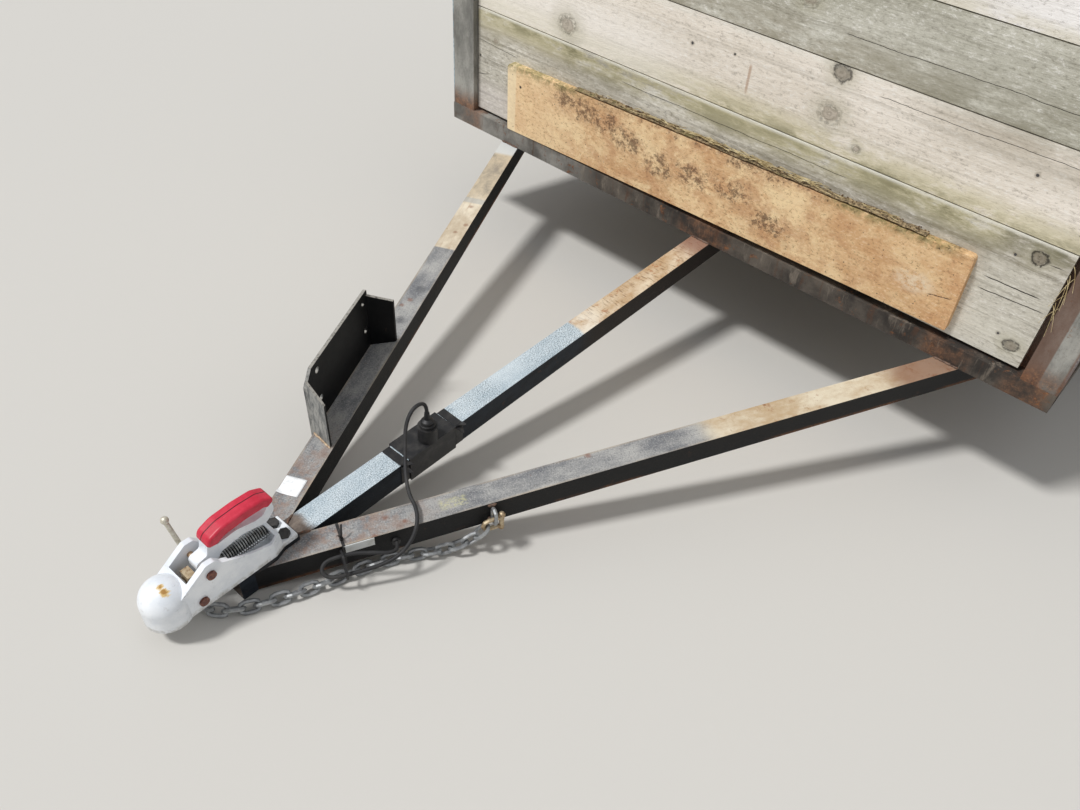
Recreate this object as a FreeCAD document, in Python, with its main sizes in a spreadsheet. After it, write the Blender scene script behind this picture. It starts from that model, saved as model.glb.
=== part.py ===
import FreeCAD, Part
import math
import os
import re
from types import SimpleNamespace
from FreeCAD import Placement, Rotation, Vector

# Utility trailer with one axle, timber walls and a lever coupling, parked with its nose on the ground.
# Everything is drawn level first: X across, Y to the rear, Z up, with the origin at the lower front
# edge of the front crossmember, midway across. The drawbar's arms lie just under Z = 0.
# At the end every piece gets the same parked placement, which tips the trailer onto its nose.

SIZES = (
    # name, value in millimetres or degrees, meaning
    ("bed_width", 1680, "overall width of the bed frame"),
    ("bed_length", 2440, "overall length of the bed frame"),
    ("rail_width", 50, "width of the frame's box sections"),
    ("rail_height", 45, "height of the frame's box sections"),
    ("section_wall", 3, "wall of the steel box sections"),
    ("arm_width", 50, "side of the drawbar's square tube"),
    ("arm_spread", 626, "side arm centreline from the middle, at the front crossmember"),
    ("arm_reach", 1296, "where the side arms' centrelines meet, ahead of the crossmember"),
    ("arm_tail", 360, "how far the side arms run on below the bed"),
    ("nose_ahead", 34, "front end of the middle arm, ahead of where the side arms meet"),
    ("spine_tail", 1010, "how far the middle arm runs on below the bed"),
    ("floor_thickness", 18, "plywood floor"),
    ("post_width", 75, "corner post across"),
    ("post_depth", 50, "corner post along"),
    ("post_inset", 2, "corner post's face behind the crossmember's face"),
    ("wall_top", 835, "top of the walls above the drawbar's top"),
    ("board_thickness", 25, "wall boards"),
    ("board_inset", 18, "boards' outer face inside the frame's outer face"),
    ("board_lift", 9, "gap below the lowest board"),
    ("board_gap", 3, "gap between two boards, and between a board and a post"),
    ("board_1", 271, "height of the lowest board"),
    ("board_2", 174, "height of the second board"),
    ("board_3", 156, "height of the third board"),
    ("front_board_gap", 14, "open slit beside the front boards' right ends"),
    ("cleat_width", 40, "flat bar behind the boards' ends"),
    ("cleat_thickness", 5, "flat bar behind the boards' ends"),
    ("stake_width", 50, "flat stake outside the side boards"),
    ("stake_thickness", 8, "flat stake outside the side boards"),
    ("plank_length", 1232, "loose-looking plank nailed across the front"),
    ("plank_height", 178, "front plank"),
    ("plank_thickness", 20, "front plank"),
    ("plank_shift", 21, "front plank's middle, left of the trailer's middle"),
    ("plank_tilt", 1.25, "front plank's slope in degrees"),
    ("gate_clearance", 5, "tailgate to the posts"),
    ("gate_tube", 25, "tailgate frame's square tube"),
    ("gate_board", 18, "tailgate boards"),
    ("hinge_radius", 8, "tailgate hinge knuckle"),
    ("hinge_pin_radius", 4, "tailgate hinge pin"),
    ("hinge_offset", 13, "hinge line behind the rear crossmember"),
    ("strap_width", 60, "tailgate hinge strap"),
    ("strap_inset", 250, "tailgate hinge strap's outer edge inside the posts"),
    ("pin_clearance", 0.1, "round fits that turn"),
    ("axle_place", 1350, "axle behind the bed's front"),
    ("axle_drop", 150, "axle centre below the drawbar's top"),
    ("axle_tube", 45, "side of the axle beam"),
    ("tyre_gap", 27.5, "bed's side to the tyre"),
    ("tyre_radius", 325, "outer radius of the tyre"),
    ("tyre_width", 185, "tyre across its sidewalls"),
    ("tread_width", 146, "tyre's tread across"),
    ("rim_radius", 178, "bead seat of the wheel"),
    ("rim_width", 140, "wheel between its flanges"),
    ("rim_flange", 14, "height of the wheel's flange over the bead seat"),
    ("rim_wall", 4, "pressed wheel's steel"),
    ("hub_radius", 68, "hub flange"),
    ("stub_radius", 20, "stub axle"),
    ("guard_gap", 60, "tyre to mudguard"),
    ("guard_width", 215, "mudguard across"),
    ("guard_sheet", 2.5, "mudguard sheet"),
    ("spring_span", 760, "leaf spring between its eyes"),
    ("spring_rise", 62, "eyes above the leaf pack's middle"),
    ("leaf_width", 38, "leaf spring across"),
    ("leaf_thickness", 7, "one leaf"),
    ("eye_radius", 14, "leaf spring's rolled eye"),
    ("hanger_plate", 5, "leaf spring hanger's steel"),
    ("nose_plate_thickness", 8, "plate under the coupling"),
    ("dome_radius", 38, "outside of the coupling's socket"),
    ("ball_radius", 26, "inside of the coupling's socket, for a 50 mm ball"),
    ("dome_ahead", 107, "ball centre ahead of the middle arm's front end"),
    ("dome_height", 45, "middle of the coupling's round head above the drawbar's top"),
    ("coupling_width", 66, "coupling across its side walls"),
    ("flange_width", 52, "coupling's bolted flange across"),
    ("coupling_wall", 5, "coupling's side wall"),
    ("coupling_base", 10, "coupling's bolted flange"),
    ("pivot_ahead", 66, "lever pivot behind the ball centre"),
    ("pivot_height", 71, "lever pivot above the drawbar's top"),
    ("pivot_radius", 5, "lever pivot pin"),
    ("lever_width", 22, "coupling lever across"),
    ("grip_width", 34, "lever grip across"),
    ("grip_rounding", 5, "lever grip's rounded edges"),
    ("lamp_depth", 30, "tail lamp, front to back"),
    ("lamp_height", 70, "tail lamp"),
    ("lamp_drop", 75, "tail lamp's lower edge below the drawbar's top"),
    ("bracket_plate", 6, "side bracket's steel"),
    ("bracket_length", 268, "side bracket along the arm"),
    ("bracket_height", 138, "side bracket above the arm"),
    ("gusset_reach", 45, "side bracket's gussets across the arm"),
    ("gusset_splay", 26, "how far the gussets lean outwards along the arm"),
    ("gusset_fall", 22, "slope of the gussets' tops"),
    ("bracket_start", 296, "side bracket's front end behind the arms' meeting point"),
    ("bracket_hole_radius", 6.5, "side bracket's holes"),
    ("bracket_hole_span", 203, "side bracket's holes along the arm"),
    ("bracket_hole_rise", 68, "side bracket's holes, upper above lower"),
    ("bracket_hole_first", 45, "side bracket's front holes behind its front end"),
    ("bracket_hole_low", 50, "side bracket's lower holes above the arm"),
    ("lug_place", 415, "chain lug along the right arm, behind the arms' meeting point"),
    ("chain_wire", 7, "chain link's bar"),
    ("chain_length", 40, "chain link, outside"),
    ("chain_width", 25, "chain link, outside"),
    ("chain_slack", 1.3, "play between two links"),
    ("shackle_wire", 8, "shackle's bar"),
    ("shackle_width", 30, "shackle's bow, outside"),
    ("shackle_reach", 24, "shackle's straight legs"),
    ("shackle_ahead", 14, "shackle's pin behind the ring"),
    ("cable_diameter", 7, "wiring cable"),
    ("grommet_place", 240, "cable's way into the right arm, behind the arms' meeting point"),
    ("grommet_height", -25, "cable's way into the right arm, above the drawbar's top"),
    ("plug_across", 12, "parked plug, right of the trailer's middle"),
    ("plug_place", 905, "parked plug, ahead of the crossmember"),
    ("plug_radius", 15, "plug's barrel"),
    ("plug_height", 70, "plug's strain relief above the drawbar's top"),
    ("label_length", 52, "label plate along the right arm"),
    ("label_height", 18, "label plate"),
    ("label_sheet", 1.5, "label plate's thickness"),
    ("label_place", 152, "label plate's front end behind the arms' meeting point"),
    ("nut_ring", 54, "wheel nuts from the wheel's middle"),
)

doc = FreeCAD.newDocument("utility_trailer")
sheet = doc.addObject("Spreadsheet::Sheet", "sizes")
for row, (alias, value, meaning) in enumerate(SIZES, start=1):
    sheet.set(f"A{row}", meaning)
    sheet.set(f"B{row}", str(value))
    sheet.setAlias(f"B{row}", alias)
doc.recompute()
size = SimpleNamespace(**{alias: float(sheet.get(alias)) for alias, value, meaning in SIZES})
size.nose_reach = size.arm_reach + size.nose_ahead
size.dome_place = size.nose_reach + size.dome_ahead
size.track = size.bed_width + size.tyre_width + 2 * size.tyre_gap

ALIASES = {alias for alias, value, meaning in SIZES}
WORKED_OUT = {
    "nose_reach": "(arm_reach + nose_ahead)",
}
nodes = {}


def cells(expression):
    """An expression in the sheet's plain names, written with the sheet's own prefix."""
    for name, formula in WORKED_OUT.items():
        expression = re.sub(rf"\b{name}\b", formula, str(expression))
    return re.sub(r"[a-z_]\w*", lambda word: f"sizes.{word[0]}" if word[0] in ALIASES else word[0],
                  str(expression))


def bind(thing, **expressions):
    for name, expression in expressions.items():
        thing.setExpression(name.replace("__", "."), cells(expression))
    return thing


def block(name, along_x, along_y, along_z, x, y, z):
    """A box given by its three sizes and its lowest corner, all as expressions."""
    box = doc.addObject("Part::Box", name)
    return bind(box, Length=along_x, Width=along_y, Height=along_z,
                Placement__Base__x=x, Placement__Base__y=y, Placement__Base__z=z)


def rod(name, radius, length, x, y, z, axis):
    """A cylinder from a start point along an axis."""
    bar = doc.addObject("Part::Cylinder", name)
    bar.Placement = Placement(Vector(), Rotation(Vector(0, 0, 1), Vector(*axis)))
    return bind(bar, Radius=radius, Height=length,
                Placement__Base__x=x, Placement__Base__y=y, Placement__Base__z=z)


def minus(name, base, *tools):
    for count, tool in enumerate(tools):
        cut = doc.addObject("Part::Cut", f"{name}_cut_{count}" if count < len(tools) - 1 else name)
        cut.Base, cut.Tool = base, tool
        base = cut
    return base


def joined(name, *pieces):
    fuse = doc.addObject("Part::MultiFuse", name)
    fuse.Shapes = list(pieces)
    return fuse


def together(name, *pieces):
    group = doc.addObject("Part::Compound", name)
    group.Links = list(pieces)
    return group


def box_section(name, along_x, along_y, along_z, x, y, z, open_along):
    """A steel tube: a box with a smaller box taken out along one axis."""
    spans = {"x": along_x, "y": along_y, "z": along_z}
    starts = {"x": x, "y": y, "z": z}
    inner, inner_start = {}, {}
    for axis in "xyz":
        if axis == open_along:
            inner[axis] = f"({spans[axis]}) + 2"
            inner_start[axis] = f"({starts[axis]}) - 1"
        else:
            inner[axis] = f"({spans[axis]}) - 2 * section_wall"
            inner_start[axis] = f"({starts[axis]}) + section_wall"
    outside = block(f"{name}_outside", along_x, along_y, along_z, x, y, z)
    inside = block(f"{name}_inside", *inner.values(), *inner_start.values())
    return minus(name, outside, inside)


def keep(label, thing, place=Placement()):
    """Enter a finished sub-part under its own label, with its place in the level frame."""
    thing.Label = label
    nodes[label] = (thing, place)


def outline(corners):
    """Closed outline of lines and arcs from rows of (u, v) or (u, v, corner radius)."""
    points = [Vector(row[0], row[1], 0) for row in corners]
    radii = [row[2] if len(row) > 2 else 0 for row in corners]
    count = len(points)
    starts, ends, arcs = [], [], []
    for index, point in enumerate(points):
        before = (points[index - 1] - point).normalize()
        after = (points[(index + 1) % count] - point).normalize()
        radius = radii[index]
        if radius == 0:
            starts.append(point)
            ends.append(point)
            arcs.append(None)
            continue
        half = before.getAngle(after) / 2
        reach = radius / math.tan(half)
        middle = (before + after).normalize()
        centre = point + middle * (radius / math.sin(half))
        starts.append(point + before * reach)
        ends.append(point + after * reach)
        arcs.append(centre - middle * radius)
    edges = []
    for index in range(count):
        if arcs[index] is not None:
            edges.append(Part.Arc(starts[index], arcs[index], ends[index]))
        following = (index + 1) % count
        if (starts[following] - ends[index]).Length > 1e-6:
            edges.append(Part.LineSegment(ends[index], starts[following]))
    return edges


def circle(u, v, radius):
    return Part.Circle(Vector(u, v, 0), Vector(0, 0, 1), radius)


def new_body(name):
    return doc.addObject("PartDesign::Body", name)


def draw(body, name, plane, edges, offset=0.0):
    """A sketch on one of the body's own origin planes."""
    sketch = body.newObject("Sketcher::SketchObject", name)
    support = [face for face in body.Origin.OriginFeatures if face.Role == plane][0]
    sketch.AttachmentSupport = [(support, "")]
    sketch.MapMode = "FlatFace"
    sketch.AttachmentOffset = Placement(Vector(0, 0, offset), Rotation())
    for edge in edges:
        sketch.addGeometry(edge, False)
    return sketch


def extrude(body, name, kind, sketch, length, both_ways=True, backwards=False):
    feature = body.newObject(f"PartDesign::{kind}", name)
    feature.Profile = sketch
    feature.SideType = "Symmetric" if both_ways else "One side"
    feature.Reversed = backwards
    bind(feature, Length=length)
    return feature


def turn(body, name, kind, sketch, axis="H_Axis", angle=360):
    feature = body.newObject(f"PartDesign::{kind}", name)
    feature.Profile = sketch
    feature.ReferenceAxis = (sketch, [axis])
    feature.Angle = angle
    return feature


def ring_of(body, name, feature, axis, count):
    pattern = body.newObject("PartDesign::PolarPattern", name)
    pattern.Originals = [feature]
    pattern.Axis = ([face for face in body.Origin.OriginFeatures if face.Role == axis][0], [""])
    pattern.Angle = 360
    pattern.Occurrences = count
    body.Tip = pattern
    return pattern


def shaped(name, shape):
    """A sub-part whose form is worked out here from the sheet's sizes."""
    feature = doc.addObject("Part::Feature", name)
    feature.Shape = shape
    return feature


SIDES = (
    # name, sign of X
    ("left", -1),
    ("right", 1),
)


# Bed frame: welded box sections

def bed_frame():
    keep("front_crossmember", box_section(
        "front_crossmember_tube", "bed_width", "rail_width", "rail_height",
        "-bed_width / 2", 0, 0, "x"))
    keep("rear_crossmember", box_section(
        "rear_crossmember_tube", "bed_width", "rail_width", "rail_height",
        "-bed_width / 2", "bed_length - rail_width", 0, "x"))
    rails = []
    for side, sign in SIDES:
        x = "-bed_width / 2" if sign < 0 else "bed_width / 2 - rail_width"
        rails.append(box_section(f"side_rail_{side}", "rail_width", "bed_length - 2 * rail_width",
                                 "rail_height", x, "rail_width", 0, "y"))
    keep("side_rails", together("side_rails", *rails))
    count = 4
    bars = []
    for index in range(count):
        y = f"rail_width + (bed_length - 2 * rail_width) * {index + 1} / {count + 1} - rail_width / 2"
        bars.append(box_section(f"floor_bar_{index}", "bed_width - 2 * rail_width", "rail_width",
                                "rail_height", "rail_width - bed_width / 2", y, 0, "x"))
    keep("floor_crossmembers", together("floor_crossmembers", *bars))


# Drawbar: two converging arms and a middle arm of square tube

def drawbar():
    keep("drawbar_spine", box_section(
        "drawbar_spine_tube", "arm_width", "nose_reach + spine_tail", "arm_width",
        "-arm_width / 2", "-nose_reach", "-arm_width", "y"))
    lean = math.degrees(math.atan2(size.arm_spread, size.arm_reach))
    length = (size.arm_reach + size.arm_tail) / math.cos(math.radians(lean)) + size.arm_width
    for side, sign in SIDES:
        shapes = []
        for inset, extra in ((0.0, 0.0), (size.section_wall, 1.0)):
            half = size.arm_width / 2 - inset
            tube = Part.makeBox(2 * half, length + 2 * extra, 2 * half,
                                Vector(-half, -size.arm_width - extra, -size.arm_width + inset))
            shapes.append(tube)
        arm = shapes[0].cut(shapes[1])
        arm.Placement = Placement(Vector(0, -size.arm_reach, 0), Rotation(Vector(0, 0, 1), -sign * lean))
        # the mitre against the middle arm, and the square end below the bed
        reach = 2 * size.bed_length
        near = Vector(size.arm_width / 2 if sign > 0 else -size.arm_width / 2 - reach,
                      -size.nose_reach - reach / 2, -size.arm_width - 1)
        outer = Part.makeBox(reach, reach / 2 + size.nose_reach + size.arm_tail, size.arm_width + 2, near)
        keep(f"drawbar_arm_{side}", shaped(f"drawbar_arm_{side}", arm.common(outer)))


def nose_plate():
    body = new_body("nose_plate_body")
    dome = size.dome_place
    edge = 1
    half = size.coupling_width / 2 + edge
    tail_half = size.flange_width / 2 + edge
    front_half = size.arm_width / 2
    right = [(front_half, -size.nose_reach, 6), (half, -dome + 150), (half, -dome + 176),
             (tail_half, -dome + 196), (tail_half, -dome + 228, 4)]
    left = [(-x, *rest) for x, *rest in right[::-1]]
    sketch = draw(body, "nose_plate_outline", "XY_Plane", outline(right + left))
    extrude(body, "nose_plate_pad", "Pad", sketch, "nose_plate_thickness", both_ways=False)
    keep("nose_plate", body)


# Corner posts with the flat bars that carry the boards' ends, and the side stakes

def posts():
    inner = "bed_width / 2 - post_width"
    for end in ("front", "rear"):
        y = "post_inset" if end == "front" else "bed_length - post_inset - post_depth"
        made = []
        for side, sign in SIDES:
            name = f"{end}_post_{side}"
            x = f"-({inner}) - post_width" if sign < 0 else inner
            tube = box_section(f"{name}_tube", "post_width", "post_depth", "wall_top - rail_height",
                               x, y, "rail_height", "z")
            # bar behind the side boards
            bar_x = "bed_width / 2 - board_inset - board_thickness - cleat_thickness"
            bar_y = "post_inset + post_depth" if end == "front" else f"{y} - cleat_width"
            start = f"-({bar_x}) - cleat_thickness" if sign < 0 else bar_x
            bars = [block(f"{name}_side_bar", "cleat_thickness", "cleat_width",
                          "wall_top - rail_height", start, bar_y, "rail_height")]
            if end == "front":
                back = "board_inset + board_thickness"
                start = f"-({inner})" if sign < 0 else f"{inner} - cleat_width"
                bars.append(block(f"{name}_front_bar", "cleat_width", "cleat_thickness",
                                  "wall_top - rail_height", start, back, "rail_height"))
            made.append(joined(name, tube, *bars))
        keep(f"{end}_posts", together(f"{end}_posts", *made))
    stakes = []
    for side, sign in SIDES:
        for index, share in enumerate((0.31, 0.69)):
            x = "bed_width / 2 - board_inset"
            start = f"-({x}) - stake_thickness" if sign < 0 else x
            stakes.append(block(f"stake_{side}_{index}", "stake_thickness", "stake_width",
                                "wall_top - rail_height", start,
                                f"bed_length * {share} - stake_width / 2", "rail_height"))
    keep("side_stakes", together("side_stakes", *stakes))


# Wall boards, four courses high all round

def courses():
    """Rows of (bottom, height) of the four courses."""
    bottom = size.rail_height + size.board_lift
    rows = []
    for height in (size.board_1, size.board_2, size.board_3):
        rows.append((bottom, height))
        bottom += height + size.board_gap
    rows.append((bottom, size.wall_top - bottom))
    return rows


def boards():
    inner = size.bed_width / 2 - size.post_width
    for number, (bottom, height) in enumerate(courses(), start=1):
        name = f"front_board_{number}"
        board = block(f"{name}_wood", "bed_width - 2 * post_width - board_gap - front_board_gap",
                      "board_thickness", height, "post_width + board_gap - bed_width / 2",
                      "board_inset", bottom)
        keep(name, together(name, board))
    for side, sign in SIDES:
        made = []
        for number, (bottom, height) in enumerate(courses(), start=1):
            x = "bed_width / 2 - board_inset - board_thickness"
            start = f"-({x}) - board_thickness" if sign < 0 else x
            made.append(block(f"{side}_board_{number}", "board_thickness",
                              "bed_length - 2 * (post_inset + post_depth + board_gap)", height,
                              start, "post_inset + post_depth + board_gap", bottom))
        keep(f"{side}_boards", together(f"{side}_boards", *made))
    # the floor stays clear of the flat bars behind the boards' ends
    floor_start = "board_inset + board_thickness + cleat_thickness + board_gap"
    sheet_half = f"bed_width / 2 - ({floor_start})"
    floor_end = "bed_length - gate_clearance - gate_tube - gate_board - gate_clearance"
    floor = block("floor_panel", f"2 * ({sheet_half})", f"{floor_end} - ({floor_start})",
                  "floor_thickness", f"-({sheet_half})", floor_start, "rail_height")
    notches = []
    for side, sign in SIDES:
        for end in ("front", "rear"):
            y = 0 if end == "front" else "bed_length - post_inset - post_depth - board_gap"
            start = "-bed_width / 2" if sign < 0 else "bed_width / 2 - post_width - board_gap"
            notches.append(block(f"floor_notch_{side}_{end}", "post_width + board_gap",
                                 "post_inset + post_depth + board_gap", "floor_thickness + 2",
                                 start, y, "rail_height - 1"))
    keep("floor_sheet", minus("floor", floor, *notches))


def kick_plank():
    """The newer plank nailed over the lowest front board, its right end a little higher."""
    tilt = math.radians(size.plank_tilt)
    half = size.plank_length / 2
    middle_z = size.rail_height + half * math.sin(tilt) + size.plank_height / 2 * math.cos(tilt)
    body = new_body("kick_plank_body")
    sketch = draw(body, "kick_plank_outline", "XZ_Plane", outline((
        (-half, -size.plank_height / 2, 3), (half, -size.plank_height / 2, 3),
        (half, size.plank_height / 2, 9), (-half, size.plank_height / 2, 9))))
    extrude(body, "kick_plank_pad", "Pad", sketch, "plank_thickness", both_ways=False)
    place = Placement(Vector(-size.plank_shift, size.board_inset, middle_z),
                      Rotation(Vector(0, 1, 0), -size.plank_tilt))
    keep("kick_plank", body, place)


# Tailgate between the rear posts, hinged on the rear crossmember

def tailgate():
    half = "bed_width / 2 - post_width - gate_clearance"
    low = "rail_height + board_lift"
    rear = "bed_length - gate_clearance"
    front = f"{rear} - gate_tube"
    high = "wall_top"
    pieces = [
        block("gate_bottom_rail", f"2 * ({half})", "gate_tube", "gate_tube", f"-({half})", front, low),
        block("gate_top_rail", f"2 * ({half})", "gate_tube", "gate_tube", f"-({half})", front,
              f"{high} - gate_tube"),
    ]
    stiles = (
        # name, left edge
        ("left", f"-({half})"),
        ("middle", "-gate_tube / 2"),
        ("right", f"{half} - gate_tube"),
    )
    for name, x in stiles:
        pieces.append(block(f"gate_stile_{name}", "gate_tube", "gate_tube", f"{high} - ({low})", x,
                            front, low))
    axis_y = "bed_length + hinge_offset"
    bores = []
    for side, sign in SIDES:
        x = size.bed_width / 2 - size.post_width - size.strap_inset
        start = -x - size.strap_width if sign < 0 else x
        pieces.append(block(f"gate_strap_{side}", "strap_width", f"{axis_y} - ({rear}) + 3",
                            "2 * gate_tube", start, rear, low))
        pieces.append(rod(f"gate_knuckle_{side}", "hinge_radius", "strap_width", start, axis_y, low,
                          (1, 0, 0)))
        bores.append(rod(f"gate_bore_{side}", "hinge_pin_radius + pin_clearance", "strap_width + 2",
                         start - 1, axis_y, low, (1, 0, 0)))
    keep("tailgate_frame", minus("tailgate_frame", joined("tailgate_steel", *pieces), *bores))
    made = []
    for number, (bottom, height) in enumerate(courses(), start=1):
        made.append(block(f"gate_board_{number}", f"2 * ({half})", "gate_board", height,
                          f"-({half})", f"{front} - gate_board", bottom))
    keep("tailgate_boards", together("tailgate_boards", *made))
    fixed = []
    lug_width = 20
    for side, sign in SIDES:
        x = size.bed_width / 2 - size.post_width - size.strap_inset
        start = -x - size.strap_width if sign < 0 else x
        outset = size.gate_clearance + lug_width
        pieces = [rod(f"hinge_pin_{side}", "hinge_pin_radius", f"strap_width + 2 * {outset}",
                      start - outset, axis_y, low, (1, 0, 0))]
        for edge, eye in (("inner", start - outset),
                          ("outer", start + size.strap_width + size.gate_clearance)):
            pieces.append(rod(f"hinge_eye_{side}_{edge}", "hinge_radius", lug_width, eye, axis_y, low,
                              (1, 0, 0)))
            pieces.append(block(f"hinge_lug_{side}_{edge}", lug_width, "hinge_offset + 2",
                                f"{low} - 10", eye, "bed_length", 10))
        fixed.append(joined(f"hinge_{side}", *pieces))
    keep("tailgate_hinges", together("tailgate_hinges", *fixed))


# Running gear: axle beam, leaf springs, wheels

def axle():
    beam_half = size.track / 2 - 70
    pieces = [block("axle_beam_tube", 2 * beam_half, "axle_tube", "axle_tube", -beam_half,
                    "axle_place - axle_tube / 2", "-axle_drop - axle_tube / 2")]
    for side, sign in SIDES:
        start = beam_half if sign > 0 else -beam_half
        pieces.append(rod(f"stub_{side}", "stub_radius", 100, start, "axle_place", "-axle_drop",
                          (sign, 0, 0)))
    keep("axle_beam", joined("axle_beam", *pieces))


def leaf_springs():
    """Two packs of three leaves with rolled eyes, and the hangers below the side rails."""
    base = size.axle_tube / 2 - size.axle_drop
    half_span = size.spring_span / 2
    bend = (half_span ** 2 + size.spring_rise ** 2) / (2 * size.spring_rise)
    middle = base + bend

    def at(share, leaf):
        """Point of the pack's section: share of the half span, leaves above the lowest face."""
        angle = math.asin(share * half_span / bend)
        radius = bend - leaf * size.leaf_thickness
        return Vector(0, radius * math.sin(angle), middle - radius * math.cos(angle))

    shares = (0.55, 0.78, 1.0)
    edges = [Part.Arc(at(-shares[0], 0), at(0, 0), at(shares[0], 0))]
    for end in (-1, 1):
        for leaf, share in enumerate(shares):
            edges.append(Part.LineSegment(at(end * share, leaf), at(end * share, leaf + 1)))
            if leaf < 2:
                longer = shares[leaf + 1]
                between = (share + longer) / 2
                edges.append(Part.Arc(at(end * share, leaf + 1), at(end * between, leaf + 1),
                                      at(end * longer, leaf + 1)))
    edges.append(Part.Arc(at(-1, 3), at(0, 3), at(1, 3)))
    wire = Part.Wire(Part.__sortEdges__([edge.toShape() for edge in edges]))
    pack = Part.Face(wire).extrude(Vector(size.leaf_width, 0, 0))
    springs, hangers = [], []
    for side, sign in SIDES:
        x = sign * (size.bed_width / 2 - size.rail_width / 2) - size.leaf_width / 2
        spring = pack
        across = size.leaf_width + 2 * size.hanger_plate
        for end in (-1, 1):
            eye = at(end, 2.5)
            bolt = Part.makeCylinder(6, across, eye - Vector(size.hanger_plate, 0, 0), Vector(1, 0, 0))
            roll = Part.makeCylinder(size.eye_radius, size.leaf_width, eye, Vector(1, 0, 0))
            spring = spring.fuse([roll, bolt])
            plates = [Part.makeBox(size.hanger_plate, 44, -eye.z + 18, Vector(edge, eye.y - 22, eye.z - 18))
                      for edge in (-size.hanger_plate, size.leaf_width)]
            web = Part.makeBox(across, 44, size.hanger_plate,
                               Vector(-size.hanger_plate, eye.y - 22, -size.hanger_plate))
            hanger = plates[0].fuse([plates[1], web]).cut(bolt)
            hanger.translate(Vector(x, size.axle_place, 0))
            hangers.append(hanger)
        spring = spring.copy()
        spring.translate(Vector(x, size.axle_place, 0))
        springs.append(spring)
    keep("leaf_springs", shaped("leaf_springs", Part.makeCompound(springs)))
    keep("spring_hangers", shaped("spring_hangers", Part.makeCompound(hangers)))


def wheel_place(sign):
    """Wheel centre, with the wheel's own +X pointing outwards."""
    turned = Rotation(Vector(0, 0, 1), 0 if sign > 0 else 180)
    return Placement(Vector(sign * size.track / 2, size.axle_place, -size.axle_drop), turned)


def wheels():
    half_tread = size.tread_width / 2
    half_tyre = size.tyre_width / 2
    half_rim = size.rim_width / 2
    seat = size.rim_radius
    lip = seat + size.rim_flange
    wall = size.rim_wall
    for side, sign in SIDES:
        tyre = new_body(f"tyre_{side}_body")
        shoulder = size.tyre_radius - 12
        bulge = (seat + size.tyre_radius) / 2 - 10
        sketch = draw(tyre, f"tyre_{side}_section", "XY_Plane", outline((
            (-half_rim + 0.5, seat + 0.2), (half_rim - 0.5, seat + 0.2),
            (half_rim - 0.5, lip + 4), (half_tyre, bulge, 30), (half_tread, shoulder + 6, 14),
            (half_tread - 26, size.tyre_radius), (26 - half_tread, size.tyre_radius),
            (-half_tread, shoulder + 6, 14), (-half_tyre, bulge, 30), (-half_rim + 0.5, lip + 4))))
        turn(tyre, f"tyre_{side}_ring", "Revolution", sketch)
        keep(f"tyre_{side}", tyre, wheel_place(sign))

        rim = new_body(f"wheel_{side}_body")
        well = seat - 18
        disc = 30
        sketch = draw(rim, f"wheel_{side}_section", "XY_Plane", outline((
            (-half_rim - wall, lip), (-half_rim, lip), (-half_rim, seat), (-34, seat), (-24, well),
            (24, well), (34, seat), (half_rim, seat), (half_rim, lip), (half_rim + wall, lip),
            (half_rim + wall, seat - wall), (32, seat - wall), (22, well - wall),
            (disc, well - wall - 6, 4), (disc + 12, 118, 8), (disc - 10, 84, 6), (disc - 10, 33),
            (disc - 10 - wall, 33), (disc - 10 - wall, 88, 6), (disc + 12 - wall - 3, 120, 8),
            (disc - wall - 4, well - wall - 6, 4), (-22, well - wall), (-32, seat - wall),
            (-half_rim - wall, seat - wall))))
        turn(rim, f"wheel_{side}_dish", "Revolution", sketch)
        doc.recompute()
        slot = draw(rim, f"wheel_{side}_slot", "YZ_Plane", outline((
            (-17, 126, 8), (17, 126, 8), (13, 146, 8), (-13, 146, 8))))
        cut = extrude(rim, f"wheel_{side}_window", "Pocket", slot, "rim_width", both_ways=True)
        ring_of(rim, f"wheel_{side}_windows", cut, "X_Axis", 8)
        keep(f"wheel_{side}", rim, wheel_place(sign))

        hub = new_body(f"hub_{side}_body")
        face = disc - 10 - wall
        bore = size.stub_radius + size.pin_clearance
        sketch = draw(hub, f"hub_{side}_section", "XY_Plane", outline((
            (face, bore), (face, size.hub_radius), (face - 12, size.hub_radius, 2), (face - 12, 38),
            (face - 52, 34), (face - 52, bore))))
        turn(hub, f"hub_{side}_barrel", "Revolution", sketch)
        sketch = draw(hub, f"hub_{side}_cap_section", "XY_Plane", outline((
            (face, bore), (face, 32.5), (face + 22, 30, 3), (face + 38, 24, 8), (face + 38, 0),
            (face + 34, 0), (face + 34, bore))))
        turn(hub, f"hub_{side}_cap", "Revolution", sketch)
        keep(f"hub_{side}", hub, wheel_place(sign))


def wheel_nuts():
    for side, sign in SIDES:
        nuts = []
        for index in range(5):
            angle = math.radians(72 * index)
            name = f"wheel_nut_{side}_{index}"
            nut = doc.addObject("Part::Prism", name)
            nut.Polygon = 6
            bind(nut, Circumradius=11, Height=15)
            nut.Placement = Placement(
                Vector(20, size.nut_ring * math.cos(angle), size.nut_ring * math.sin(angle)),
                Rotation(Vector(0, 0, 1), Vector(1, 0, 0)))
            nuts.append(nut)
        keep(f"wheel_nuts_{side}", together(f"wheel_nuts_{side}", *nuts), wheel_place(sign))


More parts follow.
